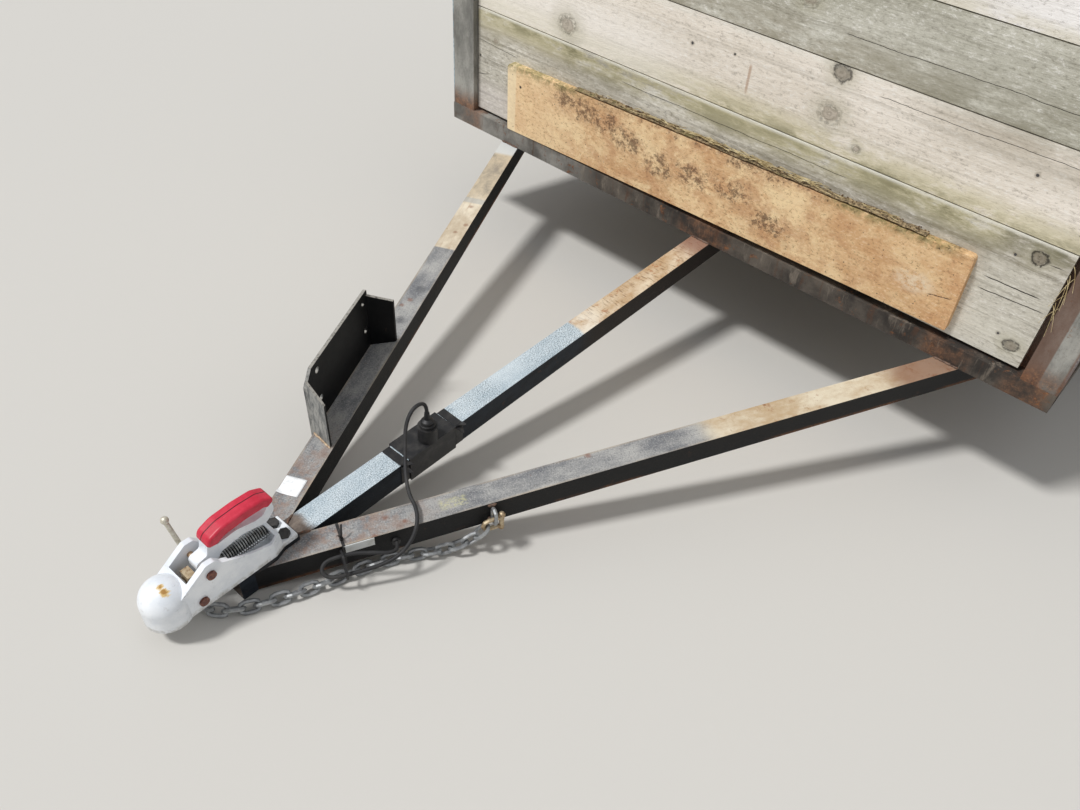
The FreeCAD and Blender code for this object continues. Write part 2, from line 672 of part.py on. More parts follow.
def mudguards():
    inner = size.tyre_radius + size.guard_gap
    outer = inner + size.guard_sheet
    start_x = size.bed_width / 2
    for side, sign in SIDES:
        body = new_body(f"mudguard_{side}_body")
        low = -40
        reach_out = math.sqrt(outer ** 2 - low ** 2)
        reach_in = math.sqrt(inner ** 2 - low ** 2)
        edges = [
            Part.Arc(Vector(-reach_out, low, 0), Vector(0, outer, 0), Vector(reach_out, low, 0)),
            Part.LineSegment(Vector(reach_out, low, 0), Vector(reach_in, low, 0)),
            Part.Arc(Vector(reach_in, low, 0), Vector(0, inner, 0), Vector(-reach_in, low, 0)),
            Part.LineSegment(Vector(-reach_in, low, 0), Vector(-reach_out, low, 0)),
        ]
        sketch = draw(body, f"mudguard_{side}_arc", "YZ_Plane", edges)
        extrude(body, f"mudguard_{side}_sheet", "Pad", sketch, "guard_width", both_ways=False,
                backwards=sign < 0)
        # inner web, welded to the side rail's face
        web_low = size.axle_drop + 2
        web_half = math.sqrt(outer ** 2 - web_low ** 2)
        edges = [
            Part.Arc(Vector(-web_half, web_low, 0), Vector(0, outer, 0), Vector(web_half, web_low, 0)),
            Part.LineSegment(Vector(web_half, web_low, 0), Vector(-web_half, web_low, 0)),
        ]
        sketch = draw(body, f"mudguard_{side}_web_outline", "YZ_Plane", edges)
        extrude(body, f"mudguard_{side}_web", "Pad", sketch, "guard_sheet", both_ways=False,
                backwards=sign < 0)
        place = Placement(Vector(sign * start_x, size.axle_place, -size.axle_drop), Rotation())
        keep(f"mudguard_{side}", body, place)


def gate_latches():
    """A turning tab on each rear post, shown turned clear of the gate."""
    latches = []
    for side, sign in SIDES:
        x = sign * (size.bed_width / 2 - size.post_width / 2)
        tab = block(f"latch_tab_{side}", 28, 5, 90, x - 14, "bed_length - post_inset", "wall_top - 130")
        pivot = rod(f"latch_pivot_{side}", 9, 12, x, "bed_length - post_inset", "wall_top - 60", (0, 1, 0))
        latches.append(joined(f"latch_{side}", tab, pivot))
    keep("gate_latches", together("gate_latches", *latches))


def rear_fittings():
    lamps = []
    for side, sign in SIDES:
        x = size.bed_width / 2 - 200
        start = -x - 150 if sign < 0 else x
        lamps.append(block(f"tail_lamp_{side}", 150, "lamp_depth", "lamp_height", start, "bed_length",
                           "-lamp_drop"))
        lamps[-1] = joined(f"lamp_{side}", lamps[-1], block(
            f"tail_lamp_arm_{side}", 60, 6, 60, start + 45, "bed_length - 6", -60))
    keep("tail_lamps", together("tail_lamps", *lamps))
    keep("number_plate", joined("number_plate", block(
        "number_plate_sheet", 370, 2, 108, -185, "bed_length", -75), block(
        "number_plate_bar", 60, 4, 60, -30, "bed_length - 4", -60)))


# Lever coupling: cast body, lever with its grip, pivot pins, clamp block, spring and bolts

def coupling():
    base = size.nose_plate_thickness
    half = size.coupling_width / 2
    place = Placement(Vector(0, -size.dome_place, 0), Rotation())
    pin_u, pin_v = size.pivot_ahead, size.pivot_height
    body = new_body("coupling_body_casting")
    sketch = draw(body, "coupling_side", "YZ_Plane", outline((
        (0, base), (224, base, 3), (224, base + 12, 3), (194, base + 12, 4), (192, 50, 4),
        (184, 52, 4), (172, 43, 6), (132, 56, 20), (88, 80, 8), (77, 94, 6), (62, 95, 6), (0, 52))))
    extrude(body, "coupling_side_walls", "Pad", sketch, "coupling_width")
    doc.recompute()
    thick = 10
    sketch = draw(body, "coupling_front_gap", "YZ_Plane", outline((
        (30, base - 1), (104, base - 1), (104, 110), (30, 110))))
    extrude(body, "coupling_front_pocket", "Pocket", sketch, f"coupling_width - 2 * {thick}")
    sketch = draw(body, "coupling_rear_gap", "YZ_Plane", outline((
        (100, base - 1), (112, base - 1), (112, base + size.coupling_base),
        (184, base + size.coupling_base), (184, 110), (100, 110))))
    extrude(body, "coupling_rear_pocket", "Pocket", sketch, "coupling_width - 2 * coupling_wall")
    # behind the spring the casting narrows to the flange's width
    flange = size.flange_width / 2
    tapers = []
    for sign in (-1, 1):
        tapers += outline([(sign * x, u) for x, u in (
            (half, 176), (flange, 196), (flange, 226), (half + 2, 226), (half + 2, 176))])
    sketch = draw(body, "coupling_taper_outline", "XY_Plane", tapers)
    extrude(body, "coupling_taper", "Pocket", sketch, "4 * coupling_width")
    radius = size.dome_radius
    centre = size.dome_height
    mid = radius * math.sqrt(0.5)
    edges = [
        Part.LineSegment(Vector(0, base, 0), Vector(radius, base, 0)),
        Part.LineSegment(Vector(radius, base, 0), Vector(radius, centre, 0)),
        Part.Arc(Vector(radius, centre, 0), Vector(mid, centre + mid, 0), Vector(0, centre + radius, 0)),
        Part.LineSegment(Vector(0, centre + radius, 0), Vector(0, base, 0)),
    ]
    sketch = draw(body, "coupling_dome_section", "XZ_Plane", edges)
    turn(body, "coupling_dome", "Revolution", sketch, axis="V_Axis")
    hollow = size.ball_radius
    ball = centre - 2
    mid = hollow * math.sqrt(0.5)
    edges = [
        Part.LineSegment(Vector(0, base - 2, 0), Vector(hollow, base - 2, 0)),
        Part.LineSegment(Vector(hollow, base - 2, 0), Vector(hollow, ball, 0)),
        Part.Arc(Vector(hollow, ball, 0), Vector(mid, ball + mid, 0), Vector(0, ball + hollow, 0)),
        Part.LineSegment(Vector(0, ball + hollow, 0), Vector(0, base - 2, 0)),
    ]
    sketch = draw(body, "coupling_socket_section", "XZ_Plane", edges)
    turn(body, "coupling_socket", "Groove", sketch, axis="V_Axis")
    doc.recompute()
    holes = draw(body, "coupling_pin_holes", "YZ_Plane", [
        circle(pin_u, pin_v, size.pivot_radius + size.pin_clearance),
        circle(43, 26, size.pivot_radius + size.pin_clearance)])
    extrude(body, "coupling_pin_bores", "Pocket", holes, "coupling_width + 10")
    keep("coupling_body", body, place)

    pins = []
    for name, u, v in (("upper", pin_u, pin_v), ("lower", 43, 26)):
        shaft = rod(f"pin_{name}_shaft", "pivot_radius", "coupling_width", -half, u, v, (1, 0, 0))
        head = rod(f"pin_{name}_head", 8, 4, half, u, v, (1, 0, 0))
        pins.append(joined(f"pin_{name}", shaft, head))
    keep("coupling_pins", together("coupling_pins", *pins), place)

    rod_x, rod_top = -half - 16, 132
    handle = [
        rod("lock_rod_washer", 9, 3, -half - 3, pin_u, pin_v, (1, 0, 0)),
        rod("lock_rod_level", 4, 13, rod_x, pin_u, pin_v, (1, 0, 0)),
        rod("lock_rod_upright", 4, rod_top - pin_v, rod_x, pin_u, pin_v, (-0.1, -0.12, 1)),
    ]
    for name, radius, at in (("knee", 4, (rod_x, pin_u, pin_v)),
                             ("ball", 6.5, (rod_x - 6, pin_u - 7.2, rod_top))):
        ball_end = doc.addObject("Part::Sphere", f"lock_rod_{name}")
        ball_end.Radius = radius
        ball_end.Placement = Placement(Vector(*at), Rotation())
        handle.append(ball_end)
    keep("coupling_lock_rod", joined("coupling_lock_rod", *handle), place)

    # the lever is a loop of bent bar: its rim is the outside and its window the finger gap
    rim = outline((
        (57, 61, 8), (84, 57, 6), (102, 75, 12), (142, 81, 60), (184, 70, 14), (202, 88, 14),
        (200, 112, 16), (184, 125, 16), (148, 126, 80), (104, 122, 20), (84, 113, 6), (78, 86, 6),
        (57, 82, 8)))
    window = outline((
        (96, 95, 5), (132, 99, 40), (166, 90, 20), (182, 91, 8), (190, 102, 8), (186, 114, 8),
        (148, 116, 80), (108, 112, 20), (94, 104, 5)))
    lever = new_body("coupling_lever_body")
    sketch = draw(lever, "coupling_lever_side", "YZ_Plane", rim + window)
    extrude(lever, "coupling_lever_loop", "Pad", sketch, "lever_width")
    doc.recompute()
    sketch = draw(lever, "coupling_lever_pivot", "YZ_Plane", [
        circle(pin_u, pin_v, size.pivot_radius + size.pin_clearance)])
    extrude(lever, "coupling_lever_bore", "Pocket", sketch, "lever_width + 2")
    keep("coupling_lever", lever, place)

    # the grip is moulded round the lever's upper bar
    grip = new_body("coupling_grip_body")
    sketch = draw(grip, "coupling_grip_side", "YZ_Plane", outline((
        (79, 104, 6), (96, 101, 6), (112, 109, 20), (148, 112, 80), (182, 111, 8), (190, 106, 6),
        (204, 114, 6), (200, 122, 8), (182, 131, 18), (148, 133, 80), (108, 130, 40), (84, 120, 14))))
    blank = extrude(grip, "coupling_grip_blank", "Pad", sketch, "grip_width")
    doc.recompute()
    side = size.grip_width / 2
    edges = [f"Edge{number}" for number, edge in enumerate(blank.Shape.Edges, start=1)
             if edge.BoundBox.XLength < side and abs(edge.CenterOfMass.x) > side / 2]
    rounding = grip.newObject("PartDesign::Fillet", "coupling_grip_rounding")
    rounding.Base = (blank, edges)
    bind(rounding, Radius="grip_rounding")
    doc.recompute()
    sketch = draw(grip, "coupling_grip_core", "YZ_Plane", rim + window)
    extrude(grip, "coupling_grip_seat", "Pocket", sketch, "lever_width")
    keep("coupling_grip", grip, place)

    keep("coupling_clamp_block", together("coupling_clamp_block", block(
        "clamp_block", 22, 14, 34, -11, 39, "26 + pivot_radius + 0.3")), place)

    spring = new_body("coupling_spring_body")
    coils, inner, outer = 11, 9, 13
    pitch = (184 - 104) / coils
    points = [(104, 0), (104, inner)]
    for coil in range(coils):
        start = 104 + coil * pitch
        points += [(start + pitch / 2, outer), (start + pitch, inner)]
    points.append((184, 0))
    sketch = draw(spring, "coupling_spring_section", "XY_Plane", outline(points))
    turn(spring, "coupling_spring_coils", "Revolution", sketch)
    spring_place = place * Placement(Vector(0, 0, 43), Rotation(Vector(0, 0, 1), 90))
    keep("coupling_spring", spring, spring_place)

    bolts = []
    for sign in (-1, 1):
        hexagon = doc.addObject("Part::Prism", f"coupling_bolt_{'left' if sign < 0 else 'right'}")
        hexagon.Polygon = 6
        hexagon.Circumradius = 10
        hexagon.Height = 8
        hexagon.Placement = Placement(Vector(sign * 15, 207, base + 12), Rotation())
        bolts.append(hexagon)
    keep("coupling_bolts", together("coupling_bolts", *bolts), place)


# Bracket on the left arm: a plate with four holes and two end gussets

def arm_place(sign, along, height=0.0):
    """On a side arm: the place is measured from where the arms' centrelines meet."""
    lean = math.degrees(math.atan2(size.arm_spread, size.arm_reach))
    turned = Rotation(Vector(0, 0, 1), -sign * lean)
    return Placement(Vector(0, -size.arm_reach, height), turned) * Placement(
        Vector(0, along, 0), Rotation())


def side_bracket():
    body = new_body("side_bracket_body")
    low = -size.arm_width * 0.7
    start, end = 0.0, size.bracket_length
    high = size.bracket_height
    sketch = draw(body, "bracket_plate_outline", "YZ_Plane", outline((
        (start, low, 4), (end, low, 4), (end, high, 4), (start + 26, high), (start, high - 26))))
    extrude(body, "bracket_plate", "Pad", sketch, "bracket_plate", both_ways=False, backwards=True)
    doc.recompute()
    first = start + size.bracket_hole_first
    holes = []
    for u in (first, first + size.bracket_hole_span):
        for v in (size.bracket_hole_low, size.bracket_hole_low + size.bracket_hole_rise):
            holes.append(circle(u, v, size.bracket_hole_radius))
    sketch = draw(body, "bracket_holes_outline", "YZ_Plane", holes)
    extrude(body, "bracket_holes", "Pocket", sketch, "3 * bracket_plate")
    # gussets splay outwards along the arm
    plate = size.bracket_plate
    for name, at, splay in (("front", start, -size.gusset_splay), ("rear", end - plate, size.gusset_splay)):
        sketch = draw(body, f"bracket_gusset_{name}_outline", "XY_Plane", outline((
            (0, at), (size.gusset_reach, at + splay), (size.gusset_reach, at + splay + plate),
            (0, at + plate))))
        extrude(body, f"bracket_gusset_{name}", "Pad", sketch, f"bracket_height - {plate * 2}",
                both_ways=False)
    doc.recompute()
    # their tops fall towards the middle of the drawbar
    high_end, low_end = high - 2 * plate, high - 2 * plate - size.gusset_fall
    sketch = draw(body, "bracket_gusset_slope", "XZ_Plane", outline((
        (0, high_end), (size.gusset_reach + 1, low_end), (size.gusset_reach + 1, high), (0, high))))
    extrude(body, "bracket_gusset_tops", "Pocket", sketch, "3 * bracket_length")
    half = size.arm_width / 2
    place = arm_place(-1, size.bracket_start) * Placement(Vector(-half, 0, 0), Rotation())
    keep("side_bracket", body, place)


def plug_and_holder():
    """Plug parked in a sleeve that is strapped to the middle arm."""
    x, y = size.plug_across, -size.plug_place
    sleeve = rod("holder_sleeve", "plug_radius + 4", 34, x, y, 3, (0, 0, 1))
    bore = rod("holder_bore", "plug_radius + pin_clearance", 34, x, y, 6, (0, 0, 1))
    clear = 0.3
    half = f"arm_width / 2 + {clear}"
    band = block("holder_band", f"2 * ({half} + 3)", 115, f"arm_width + 2 * {clear} + 6",
                 f"-({half}) - 3", y - 60, f"-arm_width - {clear} - 3")
    passage = block("holder_passage", f"2 * ({half})", 117, f"arm_width + 2 * {clear}",
                    f"-({half})", y - 61, f"-arm_width - {clear}")
    holder = minus("plug_holder", joined("holder_form", band, sleeve), passage, bore)
    keep("plug_holder", holder)
    body = new_body("trailer_plug_body")
    radius, top = size.plug_radius, size.plug_height
    sketch = draw(body, "plug_section", "XZ_Plane", outline((
        (0, 6.2), (radius, 6.2, 1), (radius, 44, 1), (radius - 3, 44), (radius - 3, 50, 3),
        (6, 54), (size.cable_diameter / 2 + 1.2, top), (0, top))))
    turn(body, "plug_form", "Revolution", sketch, axis="V_Axis")
    keep("trailer_plug", body, Placement(Vector(x, y, 0), Rotation()))


def park_angle():
    """Tilt in radians: the middle arm's lower front edge and the tyres touch the ground."""
    ahead = size.axle_place + size.nose_reach
    below = size.axle_drop - size.arm_width
    return math.asin(size.tyre_radius / math.hypot(ahead, below)) + math.atan2(below, ahead)


def ground(y):
    """Height of the ground below the level trailer, at one place along it."""
    return -size.arm_width - (y + size.nose_reach) * math.tan(park_angle())


def beside_arm(outward, along, height):
    """Point beside the right arm's outer face."""
    return arm_place(1, along).multVec(Vector(size.arm_width / 2 + outward, 0, height))


def on_ground(outward, along, lift):
    point = beside_arm(outward, along, 0)
    return Vector(point.x, point.y, ground(point.y) + lift)


CHAIN_ROUTE = (
    # outward from the right arm's face, along the arm from the meeting point, height above the ground
    (12.5, 400.5, 64), (12, 382, 46), (10, 362, 31), (7, 338, 20), (3, 309, 14), (0, 277, 12),
    (-2, 244, 11.5), (0, 210, 11.5), (6, 175, 11.5), (14, 140, 11.5), (22, 104, 11.5), (29, 66, 11.5),
    (34, 26, 11.5), (37, -14, 11.5), (34, -52, 11.5), (16, -84, 11.5), (-16, -100, 11.5),
    (-52, -98, 11.5),
)


def round_end(centre, radius, first, steps=4):
    """Corners of a half turn, in the XY plane."""
    angles = [math.radians(first + 180 * step / steps) for step in range(steps + 1)]
    return [centre + Vector(math.cos(angle), math.sin(angle), 0) * radius for angle in angles]


def bent_bar(path, radius, closed):
    """Six-sided bar along corners in the XY plane."""
    up = Vector(0, 0, 1)
    rings = []
    for index, point in enumerate(path):
        ahead = path[(index + 1) % len(path)] - point
        behind = point - path[index - 1]
        if not closed and index == 0:
            behind = ahead
        if not closed and index == len(path) - 1:
            ahead = behind
        along = (ahead.normalize() + behind.normalize()).normalize()
        # each corner is mitred
        side = up.cross(along) / along.dot(ahead)
        angles = [math.radians(60 * corner) for corner in range(6)]
        rings.append([point + side * (radius * math.cos(angle)) + up * (radius * math.sin(angle))
                      for angle in angles])
    faces = []
    for index in range(len(rings) if closed else len(rings) - 1):
        ring, following = rings[index], rings[(index + 1) % len(rings)]
        for corner in range(6):
            beside = (corner + 1) % 6
            loop = [ring[corner], ring[beside], following[beside], following[corner], ring[corner]]
            faces.append(Part.Face(Part.makePolygon(loop)))
    if not closed:
        faces += [Part.Face(Part.makePolygon(ring + ring[:1])) for ring in (rings[0], rings[-1])]
    return Part.Solid(Part.Shell(faces))


def chain_link():
    """One welded link of round bar, lying in its XY plane along X."""
    bar = size.chain_wire / 2
    bend = size.chain_width / 2 - bar
    straight = size.chain_length / 2 - bar - bend
    path = round_end(Vector(straight, 0, 0), bend, -90) + round_end(Vector(-straight, 0, 0), bend, 90)
    return bent_bar(path, bar, closed=True)


def shackle():
    """Bow and pin. The pin runs along Y at X = 0 and the bow reaches towards -X."""
    bar = size.shackle_wire / 2
    bend = size.shackle_width / 2 - bar
    path = [Vector(bar, bend, 0), *round_end(Vector(-size.shackle_reach, 0, 0), bend, 90),
            Vector(bar, -bend, 0)]
    bow = bent_bar(path, bar, closed=False)
    reach = size.shackle_width / 2 + 3
    pin = Part.makeCylinder(bar + 0.5, 2 * reach, Vector(0, -reach, 0), Vector(0, 1, 0))
    head = Part.makeSphere(bar + 2.5, Vector(0, reach, 0))
    return bow.fuse([pin, head])


def chain():
    """Ring welded upright to the right arm's side, shackle through it, and the chain to the ground."""
    face = arm_place(1, size.lug_place) * Placement(Vector(size.arm_width / 2, 0, 0), Rotation())
    middle = -size.chain_length / 2 - 2
    upright = Placement(Vector(size.chain_width / 2, 0, middle),
                        Rotation(Vector(0, 0, 1), Vector(1, 0, 0), Vector(0, 1, 0), "XYZ"))
    ring = shaped("chain_lug", chain_link())
    keep("chain_lug", ring, face * upright)
    # the shackle's upper leg lies in the ring, on its lower end, with the pin upright behind it
    bow_half = (size.shackle_width - size.shackle_wire) / 2
    leg_height = middle - size.chain_length / 2 + size.chain_wire + size.shackle_wire / 2 + 0.5
    hanging = Placement(Vector(size.chain_width / 2, size.shackle_ahead, leg_height - bow_half),
                        Rotation(Vector(0, 1, 0), Vector(0, 0, 1), Vector(1, 0, 0), "XYZ"))
    keep("chain_shackle", shaped("chain_shackle", shackle()), face * hanging)
    link = chain_link()
    pitch = size.chain_length - 2 * size.chain_wire - size.chain_slack
    curve = Part.BSplineCurve()
    curve.interpolate([on_ground(outward, along, lift) for outward, along, lift in CHAIN_ROUTE])
    route = curve.toShape()
    count = int(route.Length / pitch)
    spots = [route.valueAt(route.getParameterByLength(pitch * index)) for index in range(count + 1)]
    links = []
    for index in range(count):
        start, end = spots[index], spots[index + 1]
        along = (end - start).normalize()
        # every other link stands across its neighbour, and the chain twists as it comes down
        roll = Rotation(along, 90 * (index % 2) + min(45, 6 * index))
        level = Rotation(along, Vector(), Vector(0, 0, 1), "XZY")
        piece = link.copy()
        piece.Placement = Placement((start + end) * 0.5, roll * level)
        links.append(piece)
    keep("safety_chain", shaped("safety_chain", Part.makeCompound(links)))


def cable_route():
    """From the grommet, a flat loop beside the right arm, over the arm and down into the plug."""
    beside = (
        # outward from the arm's face, along the arm, height
        (5, 240, -25), (19, 240, -25), (27, 223, -19), (20, 196, -14), (12, 165, -11),
        (11, 138, -10), (12, 116, -12), (22, 106, -22), (32, 116, -31), (35, 138, -33),
        (35, 168, -34), (36, 200, -33), (34, 232, -27), (25, 259, -12), (6, 279, 9), (-24, 286, 15),
    )
    across = (
        # X, Y, height
        (94, -1028, 16), (64, -1007, 26), (40, -985, 46), (23, -968, 71), (15, -953, 92),
        (12, -931, 106), (12, -905, 95), (12, -905, 70),
    )
    return [beside_arm(*row) for row in beside] + [Vector(*row) for row in across]


def cable():
    route = cable_route()
    edges, radii = [], []
    start = route[0]
    for before, corner, after in zip(route, route[1:], route[2:]):
        inward, onward = corner - before, after - corner
        angle = inward.getAngle(onward)
        reach = 0.45 * min(inward.Length, onward.Length)
        inward.normalize()
        onward.normalize()
        first, last = corner - inward * reach, corner + onward * reach
        towards = (onward - inward).normalize()
        radius = reach / math.tan(angle / 2)
        radii.append(round(radius, 1))
        middle = corner + towards * (radius / math.cos(angle / 2) - radius)
        edges.append(Part.LineSegment(start, first).toShape())
        edges.append(Part.Arc(first, middle, last).toShape())
        start = last
    edges.append(Part.LineSegment(start, route[-1]).toShape())
    path = Part.Wire(edges)
    round_section = Part.Wire(Part.Circle(route[0], route[1] - route[0], size.cable_diameter / 2).toShape())
    tube = path.makePipeShell([round_section], True, False)
    keep("wiring_cable", shaped("wiring_cable", tube))
    print("cable radii", radii)
    section = math.pi * size.cable_diameter ** 2 / 4
    print("cable volume", round(tube.Volume), "section times length", round(section * path.Length),
          "length", round(path.Length))
    face = arm_place(1, size.grommet_place) * Placement(Vector(size.arm_width / 2, 0, 0), Rotation())
    grommet = rod("grommet_ring", "cable_diameter / 2 + 4", 5, 0, 0, "grommet_height", (1, 0, 0))
    keep("cable_grommet", together("cable_grommet", grommet), face)


def label_plate():
    """Blank plate on the right arm's side."""
    plate = block("label_sheet", "label_sheet", "label_length", "label_height", 0, 0, "-label_height - 1")
    place = arm_place(1, size.label_place) * Placement(Vector(size.arm_width / 2, 0, 0), Rotation())
    keep("label_plate", together("label_plate", plate), place)


def parked(shift=0.0):
    """The level frame's place in the part's own frame, nose down on the ground."""
    tipped = Placement(Vector(), Rotation(Vector(1, 0, 0), math.degrees(park_angle())))
    nose = tipped.multVec(Vector(0, -size.nose_reach, -size.arm_width))
    return Placement(Vector(0, shift, -nose.z), Rotation()) * tipped


bed_frame()
drawbar()
nose_plate()
posts()
boards()
kick_plank()
tailgate()
axle()
leaf_springs()
wheels()
wheel_nuts()
mudguards()
gate_latches()
rear_fittings()
coupling()
side_bracket()
plug_and_holder()
chain()
cable()
label_plate()
doc.recompute()

front = parked().multVec(Vector(0, -size.dome_place, size.dome_height)).y - size.dome_radius
rear = parked().multVec(Vector(0, size.bed_length + size.lamp_depth, -size.lamp_drop)).y
park = parked(-(front + rear) / 2)
for label, (thing, place) in nodes.items():
    thing.Placement = park * place
doc.recompute()

for thing in doc.Objects:
    if "Invalid" in thing.State or "Error" in thing.State:
        raise RuntimeError(f"{thing.Name} could not be built: {thing.State}")
for label, (thing, place) in nodes.items():
    if thing.Shape.isNull() or not thing.Shape.isValid():
        raise RuntimeError(f"{label} has no valid shape")

os.makedirs("parts", exist_ok=True)
for label, (thing, place) in nodes.items():
    thing.Shape.exportStep(f"parts/{label}.step")
print(len(nodes), "nodes")
whole = FreeCAD.BoundBox()
for label, (thing, place) in nodes.items():
    whole.add(thing.Shape.BoundBox)
print(whole, "park", park)
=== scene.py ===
import math
import random
from functools import reduce

import bmesh
import bpy
from mathutils import Euler, Matrix, Vector, noise


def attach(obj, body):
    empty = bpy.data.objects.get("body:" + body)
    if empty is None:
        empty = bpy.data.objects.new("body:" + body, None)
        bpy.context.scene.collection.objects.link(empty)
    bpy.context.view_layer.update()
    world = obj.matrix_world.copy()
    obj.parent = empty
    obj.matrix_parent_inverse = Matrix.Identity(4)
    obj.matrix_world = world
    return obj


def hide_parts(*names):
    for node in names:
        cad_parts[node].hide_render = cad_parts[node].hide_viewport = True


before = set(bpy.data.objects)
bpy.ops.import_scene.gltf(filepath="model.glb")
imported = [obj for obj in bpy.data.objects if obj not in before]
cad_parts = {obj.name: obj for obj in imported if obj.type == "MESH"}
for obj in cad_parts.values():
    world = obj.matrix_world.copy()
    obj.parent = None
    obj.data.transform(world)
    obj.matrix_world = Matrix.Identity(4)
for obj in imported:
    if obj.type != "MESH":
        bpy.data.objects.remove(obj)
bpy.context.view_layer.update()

# The trailer is drawn level and stands tipped onto its nose. Places below are in metres in the
# level frame: X across, Y to the rear, Z up from the drawbar's top, Y = 0 at the front crossmember.
PARK_TILT = math.radians(9.09737)
PARK_SHIFT = Vector((0, -0.493375, 0.259661))
PARK = Matrix.Translation(PARK_SHIFT) @ Matrix.Rotation(PARK_TILT, 4, "X")
ARM_WIDTH = 0.05
ARM_SPREAD = 0.626
ARM_REACH = 1.296
ARM_LEAN = math.atan2(ARM_SPREAD, ARM_REACH)
BOARD_FRONT = 0.018
BOARD_BOTTOMS = (0.054, 0.328, 0.505, 0.664)
BOARD_GAP = 0.003
WALL_TOP = 0.835
TYRE_PLACE = Vector((0.96, 1.35, -0.15))
SIDES = (("left", -1), ("right", 1))
COIL_HEIGHT = 0.043
PLANK_TOP = 0.24186
PLANK_SLOPE = 0.0218


def level(x, y, z):
    return PARK @ Vector((x, y, z))


def on_arm(sign, outward, along, height):
    """Beside a side arm's outer face, measured along it from where the arms meet."""
    out = ARM_WIDTH / 2 + outward
    x = along * math.sin(ARM_LEAN) + out * math.cos(ARM_LEAN)
    y = along * math.cos(ARM_LEAN) - out * math.sin(ARM_LEAN) - ARM_REACH
    return level(sign * x, y, height)


def plank_top(x):
    return PLANK_TOP + PLANK_SLOPE * x


def srgb(colour):
    """Colour from three values of 0 to 255."""
    linear = []
    for value in colour:
        share = value / 255
        linear.append(share / 12.92 if share <= 0.04045 else ((share + 0.055) / 1.055) ** 2.4)
    return (*linear, 1.0)


# Procedural materials

def math_step(operation):
    """A method of Field that adds one math node."""
    return lambda field, *others: field.paint.calc(operation, field, *others)


class Field:
    """A number or colour that varies over the surface. Arithmetic on it adds math nodes."""

    __add__ = math_step("ADD")
    __sub__ = math_step("SUBTRACT")
    __mul__ = math_step("MULTIPLY")
    __truediv__ = math_step("DIVIDE")
    __abs__ = math_step("ABSOLUTE")
    scaled = math_step("MULTIPLY_ADD")
    most = math_step("MAXIMUM")
    sine = math_step("SINE")

    def __init__(self, paint, socket):
        self.paint = paint
        self.socket = socket

    def wander(self, width):
        """0 to 1 spread over that width, half of it below zero."""
        return self.scaled(width, -width / 2)

    def fade(self, low, high):
        """0 at low and 1 at high, with a smooth step between. Low may be above high."""
        falling = low > high
        inputs = {"Value": self, "From Min": min(low, high), "From Max": max(low, high),
                  "To Min": float(falling), "To Max": float(not falling)}
        return self.paint.node("ShaderNodeMapRange", inputs, interpolation_type="SMOOTHSTEP")

    def blend(self, low, high, first, second):
        """The first colour at low and the second at high."""
        return self.paint.mix(self.fade(low, high), first, second)

    def under(self, *coats):
        """This colour with coats laid over it, each given as (share, colour)."""
        colour = self
        for share, coat in coats:
            colour = self.paint.mix(share, colour, coat)
        return colour


